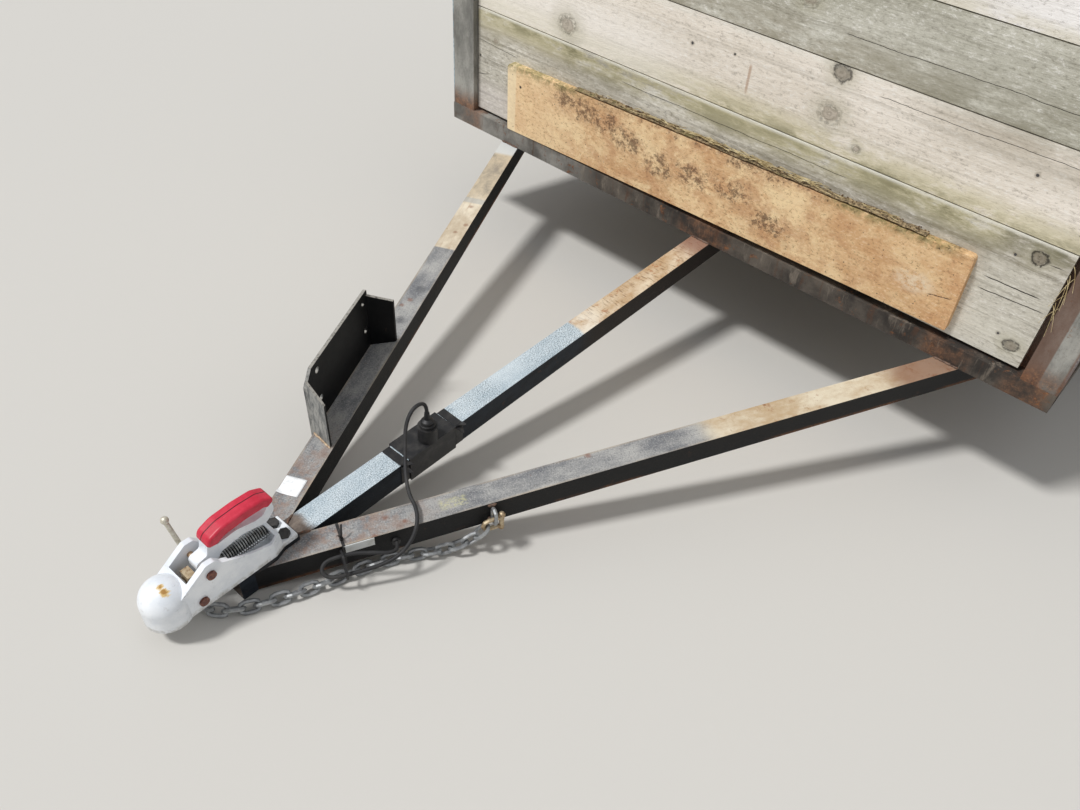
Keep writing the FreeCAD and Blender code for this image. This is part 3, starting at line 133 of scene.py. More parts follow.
class Paint:
    """One node material, put together from small steps. Sizes are in metres, colours 0 to 255."""

    def __init__(self, name, roughness=0.7, metallic=0.0, specular=0.5):
        self.material = bpy.data.materials.new(name)
        self.material.use_nodes = True
        self.tree = self.material.node_tree
        self.shader = self.tree.nodes["Principled BSDF"]
        self.shader.inputs["Roughness"].default_value = roughness
        self.shader.inputs["Metallic"].default_value = metallic
        self.shader.inputs["Specular IOR Level"].default_value = specular
        # points are in the level frame, so that grain and drips follow the parts
        points = self.node("ShaderNodeTexCoord", {}, "Object")
        back = Matrix.Rotation(-PARK_TILT, 3, "X")
        self.points = self.move(points, -(back @ PARK_SHIFT), (-PARK_TILT, 0, 0))

    def feed(self, socket, value):
        if isinstance(value, Field):
            self.tree.links.new(value.socket, socket)
        else:
            socket.default_value = value

    def node(self, kind, inputs, output=0, **settings):
        """Makes a node, feeds its inputs by name or number, and gives one output."""
        made = self.tree.nodes.new(kind)
        for name, value in settings.items():
            setattr(made, name, value)
        for key, value in inputs.items():
            self.feed(made.inputs[key], value)
        return Field(self, made.outputs[output])

    def calc(self, operation, *values):
        return self.node("ShaderNodeMath", dict(enumerate(values)), operation=operation)

    def move(self, points, shift=(0, 0, 0), turn=(0, 0, 0), stretch=(1, 1, 1)):
        inputs = {"Vector": points, "Location": shift, "Rotation": turn, "Scale": stretch}
        return self.node("ShaderNodeMapping", inputs)

    def follow_arm(self, sign):
        """From here on, points are across that side arm, along it from the meeting point, and up."""
        met = self.move(self.points, (0, ARM_REACH, 0))
        self.points = self.move(met, turn=(0, 0, sign * ARM_LEAN))

    def axes(self, vector=None):
        first = self.node("ShaderNodeSeparateXYZ", {0: vector or self.points})
        return [Field(self, socket) for socket in first.socket.node.outputs]

    def facing(self):
        """X, Y and Z of the direction that the surface faces."""
        return self.axes(self.node("ShaderNodeNewGeometry", {}, "Normal"))

    def together(self, x, y, z):
        return self.node("ShaderNodeCombineXYZ", {0: x, 1: y, 2: z})

    def noise(self, size, detail, rough=0.7, stretch=(1, 1, 1), twist=0.0):
        """Grey cloud whose features are about that size."""
        inputs = {"Vector": self.move(self.points, stretch=stretch), "Scale": 0.5 / size,
                  "Detail": detail, "Roughness": rough, "Distortion": twist}
        return self.node("ShaderNodeTexNoise", inputs)

    def grains(self, size):
        """Distance to scattered points, as a share of their spacing."""
        return self.node("ShaderNodeTexVoronoi", {"Vector": self.points, "Scale": 1 / size}, "Distance")

    def apart(self, first, second, place, flat=1.0):
        """Distance from a place, on two of the axes. Flat below 1 stretches it along the first."""
        one = (first - place[0]) * flat
        two = second - place[1]
        return self.calc("SQRT", one * one + two * two)

    def mix(self, share, first, second):
        colours = [colour if isinstance(colour, Field) else srgb(colour) for colour in (first, second)]
        inputs = {0: share, 6: colours[0], 7: colours[1]}
        return self.node("ShaderNodeMix", inputs, 2, data_type="RGBA")

    def rust(self):
        base = self.noise(0.012, 6).blend(0.35, 0.65, (74, 48, 34), (128, 84, 54))
        return base.under((self.noise(0.0025, 4).fade(0.45, 0.75), (160, 112, 74)))

    def done(self, colour, relief=(), roughness=None, metallic=None):
        """Relief is rows of (height field, depth in metres)."""
        for name, value in (("Base Color", colour), ("Roughness", roughness), ("Metallic", metallic)):
            if value is not None:
                self.feed(self.shader.inputs[name], value)
        if relief:
            height = reduce(Field.__add__, [layer * depth for layer, depth in relief])
            bump = self.node("ShaderNodeBump", {"Height": height, "Distance": 1.0, "Strength": 1.0})
            self.feed(self.shader.inputs["Normal"], bump)
        return self.material


def side_arm(name, sign):
    """Worn grey paint with sides painted dark as painted shade, rusty noses and a tan or cream stretch near
    the bed.
    """
    paint = Paint(name, specular=0.25)
    paint.follow_arm(sign)
    across, along, up = paint.axes()
    cloud = paint.noise(0.03, 6, 0.65, (1, 0.35, 1))
    grit = paint.noise(0.0016, 3, 0.8)
    streak = paint.noise(0.005, 4, 0.7, (1, 0.06, 1))
    patch = paint.noise(0.045, 6, 0.7, (1, 0.5, 1))
    freckle = paint.noise(0.016, 5, 0.75)
    rust = paint.rust()
    # painted shade: the sides' near-black stands for the shade on them; real rust runs along their bottoms
    side = cloud.blend(0.3, 0.7, (15, 16, 18), (31, 30, 29)).under(
        (freckle.fade(0.6, 0.72) * 0.4, (74, 52, 40)),
        (up.fade(-0.04, -0.0495) * cloud.fade(0.42, 0.6) * 0.8, rust))
    edge = across.fade(0.0195, 0.0245).most(across.fade(-0.0195, -0.0245))
    upper = patch.blend(0.36, 0.64, (112, 114, 118), (170, 169, 166)).under(
        (streak.fade(0.52, 0.72) * 0.5, (84, 86, 90)),
        (grit.fade(0.52, 0.66) * 0.45, (204, 200, 192)),
        (grit.fade(0.46, 0.34) * 0.55, (62, 60, 58)),
        # scale rubbed through to brown near the noses
        (along.fade(0.4, 0.16) * freckle.fade(0.42, 0.62) * 0.6, (146, 116, 98)),
        (along.fade(0.36, 0.22) * patch.fade(0.52, 0.64) * 0.5, (104, 66, 48)),
        (edge * cloud.fade(0.35, 0.6) * 0.6, (176, 160, 138)))
    if sign < 0:
        worn = patch.blend(0.4, 0.6, (148, 140, 128), (198, 184, 160))
        cream = patch.blend(0.34, 0.62, (186, 170, 146), (226, 216, 196)).under(
            (streak.fade(0.56, 0.7) * 0.5, (168, 128, 92)),
            ((along + cloud.wander(0.3)).fade(1.12, 1.2), worn),
            (along.fade(1.128, 1.134) * along.fade(1.156, 1.15) * 0.6, (166, 170, 170)),
            (along.fade(1.375, 1.392), (206, 208, 206)))
        upper = upper.under((along.fade(0.925, 0.931), cream))
        # across, along, radius
        spots = ((0.001, 1.114, 0.006), (0.015, 1.034, 0.006), (0.001, 0.998, 0.005),
                 (0.002, 0.651, 0.011), (0.004, 0.765, 0.012), (-0.014, 0.7, 0.005),
                 (-0.004, 0.722, 0.006))
    else:
        ragged = along + cloud.wander(0.05)
        tan = patch.blend(0.36, 0.62, (182, 158, 126), (216, 206, 184)).under(
            (freckle.fade(0.56, 0.68) * 0.7, (150, 104, 68)),
            (ragged.fade(1.26, 1.34) * 0.8, (128, 88, 66)))
        smear = paint.noise(0.0022, 4, 0.8, (1, 0.5, 1))
        rubbed = (along.fade(0.324, 0.332) * along.fade(0.38, 0.372) * across.fade(-0.014, -0.008)
                  * across.fade(0.013, 0.008) * smear.fade(0.44, 0.58))
        upper = upper.under((ragged.fade(0.835, 0.885), tan), (rubbed * 0.5, (204, 200, 146)))
        spots = ((0.024, 0.205, 0.006), (-0.008, 0.232, 0.005), (0.01, 0.262, 0.004),
                 (-0.02, 0.62, 0.006))
    for place_across, place_along, radius in spots:
        distance = paint.apart(across, along, (place_across, place_along)) + grit.wander(0.008)
        tint = (126, 74, 48) if radius < 0.01 else (80, 82, 86)
        upper = upper.under((distance.fade(radius * 1.5, radius * 0.4) * 0.55, tint))
    upper = upper.under((freckle.fade(0.66, 0.74) * 0.7, rust))
    # painted light and shade: faces that point up take the lit top's colour, all others the shaded sides'
    colour = side.under((paint.facing()[2].fade(0.6, 0.9), upper))
    return paint.done(colour, ((grit, 0.0005), (freckle, 0.0006)), cloud.scaled(0.25, 0.5))


def middle_arm():
    """Light blue with fine dark specks on top, tan and rusty near the bed, and dark blue sides that are
    painted shade.
    """
    paint = Paint("middle_arm_paint", 0.6, specular=0.25)
    along = paint.axes()[1]
    cloud = paint.noise(0.03, 6, 0.7, (1, 0.5, 1))
    speck = paint.noise(0.0011, 2, 0.6)
    patch = paint.noise(0.05, 5, 0.7, (1, 0.4, 1))
    wide = paint.noise(0.1, 3, 0.5, (0.6, 1, 1))
    scratch = paint.noise(0.003, 3, 0.6, (0.25, 1.2, 1), 0.4)
    freckle = paint.noise(0.014, 5, 0.75)
    tan = cloud.blend(0.3, 0.7, (178, 146, 108), (222, 208, 184)).under(
        (scratch.fade(0.54, 0.66) * 0.8, (132, 104, 76)),
        (freckle.fade(0.56, 0.66) * 0.8, (160, 96, 52)),
        (along.fade(-0.36, -0.44) * cloud.fade(0.35, 0.6) * 0.7, (226, 218, 204)))
    nose = cloud.blend(0.4, 0.6, (82, 72, 66), (132, 120, 110))
    upper = cloud.blend(0.3, 0.7, (166, 181, 190), (202, 212, 217)).under(
        (patch.fade(0.58, 0.68) * 0.6, (128, 146, 158)),
        (speck.fade(0.48, 0.4) * wide.fade(0.62, 0.4).scaled(0.75, 0.25), (84, 96, 104)),
        (speck.fade(0.56, 0.64) * 0.55, (238, 243, 245)),
        ((along + cloud.wander(0.03)).fade(-0.468, -0.458), tan),
        (along.fade(-0.1, -0.03) * 0.8, (138, 96, 80)),
        ((along + patch.wander(0.08)).fade(-1.17, -1.19), nose))
    # painted shade: the sides' dark blue stands for the shade on them
    side = cloud.blend(0.3, 0.7, (17, 21, 28), (38, 46, 55)).under(
        (along.fade(-0.5, -0.42), (40, 34, 30)),
        (freckle.fade(0.62, 0.72) * 0.6, (92, 62, 44)))
    # painted light and shade: faces that point up take the top's colour, all others the shaded sides'
    colour = side.under((paint.facing()[2].fade(0.6, 0.9), upper))
    return paint.done(colour, ((speck, 0.0005), (freckle, 0.0005)))


def rusty_frame():
    """Brown-grey frame with drips of rust, its dark base partly painted shade and its paler left end painted
    light.
    """
    paint = Paint("rusty_frame_paint", 0.85)
    across = paint.axes()[0]
    cloud = paint.noise(0.05, 6, 0.65)
    drip = paint.noise(0.012, 5, 0.7, (1, 1, 0.18))
    grit = paint.noise(0.002, 4, 0.75)
    patch = paint.noise(0.022, 5, 0.8)
    rust = paint.rust()
    # painted light: the paler tone towards the left end stands for the lit part of the crossmember
    pale = cloud.blend(0.35, 0.65, (104, 100, 94), (156, 154, 148))
    # more rust where the drawbar joins, and at the corners: place across, reach
    joints = ((0.0, 0.09), (0.615, 0.07), (-0.77, 0.05), (0.78, 0.06))
    near = reduce(Field.most, [abs(across - place).fade(reach, reach * 0.4) for place, reach in joints])
    # painted shade, partly: the dark base also stands for the plank's shade on the crossmember
    base = cloud.blend(0.35, 0.65, (46, 41, 37), (96, 88, 79)).under(
        ((across + cloud.wander(0.3)).fade(-0.3, -0.44) * 0.8, pale),
        (drip.fade(0.54, 0.68) * 0.7, (84, 58, 42)),
        (drip.fade(0.45, 0.32) * 0.5, (150, 138, 124)),
        (patch.fade(0.58, 0.66), rust),
        (near * cloud.fade(0.36, 0.55) * 0.6, rust))
    return paint.done(base, ((grit, 0.0005), (patch, 0.0012)))


def post_paint():
    """Weathered grey posts, blue-white on their outer sides, rusty at the feet."""
    paint = Paint("post_paint", 0.82)
    across, along, up = paint.axes()
    cloud = paint.noise(0.04, 6, 0.7, (1, 1, 0.4))
    grit = paint.noise(0.002, 4, 0.75)
    freckle = paint.noise(0.018, 5, 0.8)
    rust = paint.rust()
    blue = grit.blend(0.45, 0.6, (120, 150, 166), (196, 208, 210))
    rim = across.fade(0.8, 0.797).most(across.fade(0.832, 0.837))
    base = cloud.blend(0.35, 0.65, (114, 113, 108), (168, 166, 159)).under(
        (grit.fade(0.54, 0.68) * 0.4, (84, 78, 70)),
        (abs(across).fade(0.836, 0.839) * cloud.fade(0.36, 0.5), blue),
        (freckle.fade(0.58, 0.68) * across.fade(0.2, 0.7) * 0.8, rust),
        (across.fade(0.7, 0.75) * rim * 0.7, (104, 68, 48)),
        (up.fade(0.11, 0.05) * cloud.fade(0.3, 0.5) * 0.85, rust))
    return paint.done(base, ((freckle, 0.001), (grit, 0.0004)))


# heart's strength and colour, where the dark rim's fade starts and ends, rim's colour
BOLD_KNOT = (0.6, (122, 110, 96), 0.32, 0.48, (46, 40, 32))
FAINT_KNOT = (0.45, (150, 134, 120), 0.4, 0.58, (84, 76, 58))
BOLD_FROM = 0.75


def timber(name, pale, dark, along="x", knots=(), splits=(), tints=(), nails=(), lines=0.35, streaks=(),
           courses=False):
    """Weathered board. Places on it are (along, height).

    knots: rows of (along, height, radius, darkness).
    splits: rows of (first along, last along, height, slope, half width).
    tints: rows of (height at full strength, height where it ends, colour, strength, share of the
           area), and where it also ends along the board, along at full strength and where it ends.
    nails: rows of (along, height, radius).
    lines: how strong the grain's lines are.
    streaks: rows of (along, top, bottom) of rust that ran down.
    courses: the material is for a whole wall, and tint heights are above each board's own bottom.
    """
    paint = Paint(name, 0.9)
    x, y, z = paint.axes()
    run, height, deep = {"x": (x, z, y), "y": (y, z, x), "floor": (y, x, z)}[along]
    paint.points = paint.together(run, z, deep)
    ragged = paint.noise(0.009, 5)
    fleck = paint.noise(0.004, 4)
    hearts = []
    for knot_run, knot_height, radius, darkness in knots:
        distance = paint.apart(run, z, (knot_run, knot_height), 0.85) / radius + ragged.wander(1.5)
        pull = paint.calc("DIVIDE", 0.8, distance * distance + 1.0)
        height = height - (z - knot_height) * pull
        hearts.append((distance, darkness))
    paint.points = paint.together(run, height, deep)
    bands = paint.noise(0.008, 5, 0.65, (0.02, 1, 1), 0.5)
    fibres = paint.noise(0.002, 4, 0.75, (0.012, 1, 1))
    cloud = paint.noise(0.12, 6, 0.65, (0.35, 1, 1))
    fuzz = paint.noise(0.0034, 4, 0.85, (0.45, 1, 1))
    patches = paint.noise(0.03, 7, 0.75, (0.35, 1, 1))
    wobble = paint.noise(0.05, 5, 0.65)
    colour = cloud.blend(0.34, 0.66, pale, dark).under(
        (bands.fade(0.5, 0.66) * lines, (120, 113, 98)),
        (fibres.fade(0.5, 0.7) * (lines * 0.7), (112, 105, 92)),
        (fuzz.fade(0.53, 0.66) * 0.55, (252, 249, 243)),
        (fuzz.fade(0.48, 0.33) * (0.32 + 0.45 * lines), (112, 105, 92)))
    rise = z
    if courses:
        rise = z - BOARD_BOTTOMS[0]
        passes = []
        for below, bottom in zip(BOARD_BOTTOMS, BOARD_BOTTOMS[1:]):
            passes.append(paint.calc("GREATER_THAN", z, bottom - BOARD_GAP / 2))
            rise = rise - passes[-1] * (bottom - below)
        number = reduce(Field.__add__, passes)
        colour = colour.under((number.scaled(2.4, 0.7).sine().scaled(0.3, 0.3), (158, 152, 136)))
    for full, end, tint, strength, area, *along_board in tints:
        share = rise.fade(end, full)
        if along_board:
            share = share * run.fade(along_board[1], along_board[0])
        if area < 1.0:
            middle = 0.62 - 0.24 * area
            share = share * patches.fade(middle - 0.08, middle + 0.08)
        colour = colour.under((share * strength, tint))
    relief = []
    for distance, darkness in hearts:
        strength, heart, rim_low, rim_high, rim_tint = BOLD_KNOT if darkness > BOLD_FROM else FAINT_KNOT
        ring = (distance * 11.0).sine().fade(0.1, 0.9) * distance.fade(1.9, 0.9)
        rim = distance.fade(1.3, 1.05) * distance.fade(0.7, 0.95) * fleck.fade(rim_low, rim_high)
        # painted shade: the checks in a knot are dark for the shade inside them
        crack = distance.fade(0.8, 0.5) * fleck.fade(0.6, 0.66)
        colour = colour.under(
            (distance.fade(3.2, 1.2) * 0.35, (172, 166, 140)),
            (ring * 0.35, (122, 115, 96)),
            (distance.fade(1.0, 0.6) * strength, heart),
            (rim * darkness, rim_tint),
            (crack * darkness, (62, 54, 44)))
        relief.append((ring, -0.0004))
    for nail_run, nail_height, radius in nails:
        distance = paint.apart(run, z, (nail_run, nail_height)) + fleck.wander(0.003)
        colour = colour.under(
            (distance.fade(radius * 2.2, radius) * 0.4, (120, 108, 92)),
            (distance.fade(radius, radius * 0.7), (74, 72, 72)))
    for place, top, low in streaks:
        share = abs(run - place).fade(0.005, 0.001) * z.fade(low, low + 0.02) * z.fade(top, top - 0.01)
        colour = colour.under((share * 0.55, (160, 112, 70)))
    # painted shade: each split is near-black for the shade inside it, over a shallow dent
    for first, last, place, slope, half in splits:
        line = (run - first).scaled(slope, place) + wobble.wander(0.01)
        share = (abs(z - line).fade(half * 2, half) * run.fade(first, first + 0.02)
                 * run.fade(last, last - 0.02))
        colour = colour.under((share, (40, 34, 26)))
        relief.append((share, -0.002))
    return paint.done(colour, relief + [(bands, 0.0008), (fibres, 0.0009), (fuzz, 0.001)])


# places across and up on the plank where soil sticks in clusters
SOIL_PLACES = ((-0.433, 0.195), (-0.379, 0.193), (-0.307, 0.183), (-0.247, 0.163), (-0.149, 0.137),
               (-0.056, 0.15), (0.069, 0.245), (0.146, 0.252), (0.054, 0.16), (0.162, 0.118))


def plank_wood():
    """Newer orange pine with fuzzy grain, soil rubbed into it and green along its top."""
    paint = Paint("plank_wood", 0.85)
    x, y, z = paint.axes()
    paint.points = paint.together(x, z, y)
    below = z - x.scaled(PLANK_SLOPE, PLANK_TOP)
    bands = paint.noise(0.014, 4, 0.6, (0.06, 1, 1), 1.2)
    fibres = paint.noise(0.0022, 4, 0.75, (0.09, 1, 1))
    fuzz = paint.noise(0.003, 4, 0.85, (0.6, 1, 1))
    cloud = paint.noise(0.06, 7, 0.7, (0.7, 1, 1))
    blot = paint.noise(0.028, 6, 0.7, (0.8, 1, 1), 0.5)
    grime = paint.noise(0.013, 8, 0.85)
    crumbs = paint.noise(0.0055, 6, 0.85)
    scatter = paint.noise(0.05, 2, 0.55)
    worn = paint.apart(x, z, (0.502, 0.147), 0.6).fade(0.034, 0.012) * grime.fade(0.4, 0.56)
    ends = x.fade(-0.6055, -0.6115).most(x.fade(0.6, 0.606))
    # soil: thick clusters, and dirt below the top edge
    clusters = [paint.apart(x, z, place, 0.6).fade(0.066, 0.012) for place in SOIL_PLACES]
    soil = reduce(Field.most, clusters).most(below.fade(-0.04, -0.006) * 0.75)
    thick = (grime * 0.55 + crumbs * 0.45 + soil.scaled(0.15, -0.1)).fade(0.54, 0.62)
    green = x.fade(-0.34, -0.46).most(x.fade(0.24, 0.32) * x.fade(0.6, 0.5))
    nail = paint.apart(x, z, (-0.593, 0.175))
    # painted shade: the crack near the right end is a dark line for the shade inside it
    line = (x - 0.534).scaled(0.23, 0.134) + grime.wander(0.012)
    crack = abs(z - line).fade(0.0012, 0.0006) * (x.fade(0.534, 0.54) * x.fade(0.584, 0.576))
    colour = cloud.blend(0.38, 0.6, (250, 220, 172), (218, 174, 126)).under(
        (blot.fade(0.49, 0.6) * 0.5, (196, 144, 102)),
        (blot.fade(0.46, 0.36) * 0.65, (252, 226, 178)),
        (bands.fade(0.54, 0.72) * 0.35, (188, 138, 96)),
        (x.fade(-0.3, -0.52) * 0.55, (252, 222, 176)),
        (x.fade(0.2, 0.44) * 0.35, (214, 168, 118)),
        (fibres.fade(0.5, 0.72) * 0.35, (246, 218, 176)),
        (fuzz.fade(0.47, 0.33) * 0.7, (146, 106, 72)),
        (fuzz.fade(0.54, 0.66) * 0.45, (252, 232, 198)),
        (worn * 0.7, (252, 238, 210)),
        (ends * 0.7, (250, 232, 194)),
        (soil.most(0.25) * grime.fade(0.4, 0.56) * 0.5, (168, 124, 90)),
        (thick * 0.68, (104, 76, 54)),
        (below.fade(-0.03, -0.004) * green * grime.fade(0.38, 0.54) * 0.6, (126, 128, 74)),
        (paint.grains(0.014).fade(0.13, 0.06) * scatter.fade(0.46, 0.56) * 0.85, (62, 44, 32)),
        (nail.fade(0.0042, 0.003), (72, 60, 52)),
        (crack, (66, 44, 30)))
    return paint.done(colour, ((fibres, 0.0008), (fuzz, 0.0009), (thick, 0.001)))


def enamel():
    """White enamel of the coupling, with light grime and worn spots on the dome."""
    paint = Paint("white_enamel", 0.32)
    x, y, z = paint.axes()
    cloud = paint.noise(0.02, 5, 0.6)
    grime = paint.noise(0.006, 5, 0.75)
    scratch = paint.noise(0.0025, 4, 0.75, (1, 0.3, 0.5))
    colour = cloud.blend(0.3, 0.7, (242, 245, 248), (222, 227, 233)).under(
        (grime.fade(0.58, 0.74) * 0.35, (164, 160, 152)),
        (scratch.fade(0.64, 0.72) * 0.45, (112, 110, 108)),
        (z.fade(0.02, 0.01) * grime.fade(0.38, 0.6) * 0.55, (128, 118, 96)))
    # two small worn spots on the dome, ahead of its crown and to the right
    for place, radius in (((0.007, -1.438), 0.0055), ((0.016, -1.439), 0.0065)):
        worn = paint.apart(x, y, place) + scratch.wander(0.02) + z.fade(0.066, 0.06)
        colour = colour.under(
            (worn.fade(radius * 1.25, radius * 0.7), (222, 192, 132)),
            (worn.fade(radius * 0.8, radius * 0.3), (172, 128, 66)))
    paint.shader.inputs["Coat Weight"].default_value = 0.3
    return paint.done(colour, ((cloud, 0.0004),))


def pin_zinc():
    """Tan passivated pins with rusty heads."""
    paint = Paint("pin_zinc", 0.4)
    x = paint.axes()[0]
    fine = paint.noise(0.0016, 4, 0.75)
    head = fine.blend(0.42, 0.66, (82, 36, 28), (142, 84, 56))
    on_head = abs(x).fade(0.0295, 0.0305)
    shank = paint.noise(0.006, 5).blend(0.3, 0.7, (214, 186, 152), (176, 144, 112))
    return paint.done(shank.under((on_head, head)), ((fine, 0.0004),), metallic=on_head.scaled(-0.5, 0.5))


def grip_plastic():
    """Crimson plastic with one fine groove along its crown, painted dark as the shade in it."""
    paint = Paint("grip_plastic", 0.42)
    x = paint.axes()[0]
    scuff = paint.noise(0.003, 4, 0.7, (1, 0.25, 1))
    # painted shade: the groove's dark red stands for the shade inside it, over a shallow dent
    groove = abs(x + 0.002).fade(0.0011, 0.0005)
    colour = paint.noise(0.01, 6).blend(0.3, 0.7, (186, 26, 52), (208, 48, 72)).under(
        (scuff.fade(0.6, 0.75) * 0.5, (226, 106, 118)),
        (groove, (76, 8, 20)))
    return paint.done(colour, ((groove, -0.0008), (scuff, 0.0002)))


def black_paint():
    """Gloss black bracket, darkened as painted shade, greyed as painted light on its front gusset, and
    rubbed pale along its top edges.
    """
    paint = Paint("black_paint", specular=0.15)
    paint.follow_arm(-1)
    along = paint.axes()[1]
    dust = paint.noise(0.02, 6)
    fine = paint.noise(0.002, 4, 0.75)
    facing = paint.facing()
    # painted light: this grey on the front gusset's front face stands for light falling on it
    grey = paint.noise(0.006, 5, 0.75, (1, 1, 0.25)).blend(0.36, 0.62, (96, 98, 99), (172, 171, 166))
    # painted shade: the black is darker than the paint, down to its shaded tone
    colour = dust.blend(0.4, 0.8, (7, 8, 10), (20, 20, 21)).under(
        (facing[1].fade(-0.45, -0.7) * along.fade(0.4, 0.36) * 0.9, grey),
        (facing[2].fade(0.5, 0.8) * fine.fade(0.3, 0.5) * 0.85, (172, 168, 160)),
        (paint.noise(0.011, 6, 0.8).fade(0.66, 0.72) * 0.6, (112, 84, 64)))
    return paint.done(colour, ((fine, 0.0002),), dust.scaled(0.3, 0.35))


def zinc(name, base, tint, rust, amount):
    """Zinc or galvanising with patches of rust. Amount is the share that shows rust."""
    paint = Paint(name, 0.45, 0.6)
    cloud = paint.noise(0.008, 6)
    fine = paint.noise(0.002, 4)
    colour = cloud.blend(0.3, 0.7, base, tint).under(
        (fine.fade(0.75 - amount * 0.4, 0.85 - amount * 0.4), rust))
    return paint.done(colour, ((fine, 0.0003),), cloud.scaled(0.4, 0.3))


def dark_steel(name, low, high):
    paint = Paint(name, 0.6, 0.3)
    fine = paint.noise(0.002, 4, 0.75)
    colour = paint.noise(0.012, 6).blend(0.3, 0.7, low, high)
    return paint.done(colour.under((fine.fade(0.62, 0.76), (116, 82, 58))), ((fine, 0.0003),))


def weld_metal(name, low, high):
    """Rippled bead with burnt and rusty patches."""
    paint = Paint(name, 0.6, 0.3)
    fine = paint.noise(0.002, 4, 0.75)
    colour = paint.noise(0.01, 6, 0.75).blend(0.36, 0.62, low, high)
    return paint.done(colour.under((fine.fade(0.54, 0.66) * 0.6, (150, 92, 54))), ((fine, 0.0004),))


def coil_steel():
    """Bright wire round a core painted near-black as painted shade."""
    paint = Paint("coil_steel", 0.3)
    x, y, z = paint.axes()
    # painted shade: inside the wire's radius the colour is near-black for the shade within the coil
    wire = paint.apart(x, z, (0.0, COIL_HEIGHT)).fade(0.009, 0.0098)
    bright = paint.noise(0.006, 4).blend(0.35, 0.65, (132, 132, 130), (196, 198, 198))
    return paint.done(paint.mix(wire, (22, 22, 23), bright), metallic=wire * 0.7)


def rubber(name, base, dust):
    paint = Paint(name)
    cloud = paint.noise(0.03, 6)
    relief = ((paint.noise(0.0015, 3), 0.0002),)
    return paint.done(cloud.blend(0.4, 0.8, base, dust), relief, cloud.scaled(0.3, 0.5))


def tyre_rubber():
    """Black rubber, brown with dust on the tread and greyer on the sidewalls."""
    paint = Paint("tyre_rubber", 0.8)
    x, y, z = paint.axes()
    radius = paint.apart(y, z, TYRE_PLACE.yz)
    cloud = paint.noise(0.03, 6)
    colour = cloud.blend(0.35, 0.75, (38, 38, 39), (66, 64, 61)).under(
        (radius.fade(0.3, 0.322) * cloud.fade(0.3, 0.6) * 0.55, (118, 106, 92)),
        (radius.fade(0.3215, 0.3185) * radius.fade(0.3165, 0.318) * 0.5, (92, 80, 66)))
    rings = (radius * 2400.0).sine() * (radius.fade(0.276, 0.272) * radius.fade(0.252, 0.256))
    return paint.done(colour, ((rings, 0.0003), (paint.noise(0.0015, 3), 0.0002)))


def lamp_lens():
    """Red lens with fine ribs."""
    paint = Paint("lamp_lens", 0.2)
    x = paint.axes()[0]
    colour = paint.noise(0.02, 5).blend(0.4, 0.8, (150, 14, 18), (128, 60, 54))
    return paint.done(colour, (((x * 900.0).sine(), 0.0006),))


def mulch():
    """Rotted leaves, soil and moss."""
    paint = Paint("mulch", 0.95)
    shade = paint.noise(0.004, 6, 0.8)
    colour = shade.blend(0.38, 0.62, (84, 70, 52), (176, 154, 118)).under(
        (paint.noise(0.03, 5).fade(0.5, 0.6) * 0.6, (112, 108, 62)),
        (paint.grains(0.004).fade(0.22, 0.1) * 0.6, (190, 172, 132)))
    return paint.done(colour, ((shade, 0.002),))


def two_tone(name, roughness, cloud, low, high, first, second, fine=None, depth=0.0):
    """Two colours in a cloud, over fine relief. Cloud and fine are a noise's size, detail and roughness."""
    paint = Paint(name, roughness)
    relief = ((paint.noise(*fine), depth),) if fine else ()
    return paint.done(paint.noise(*cloud).blend(low, high, first, second), relief)


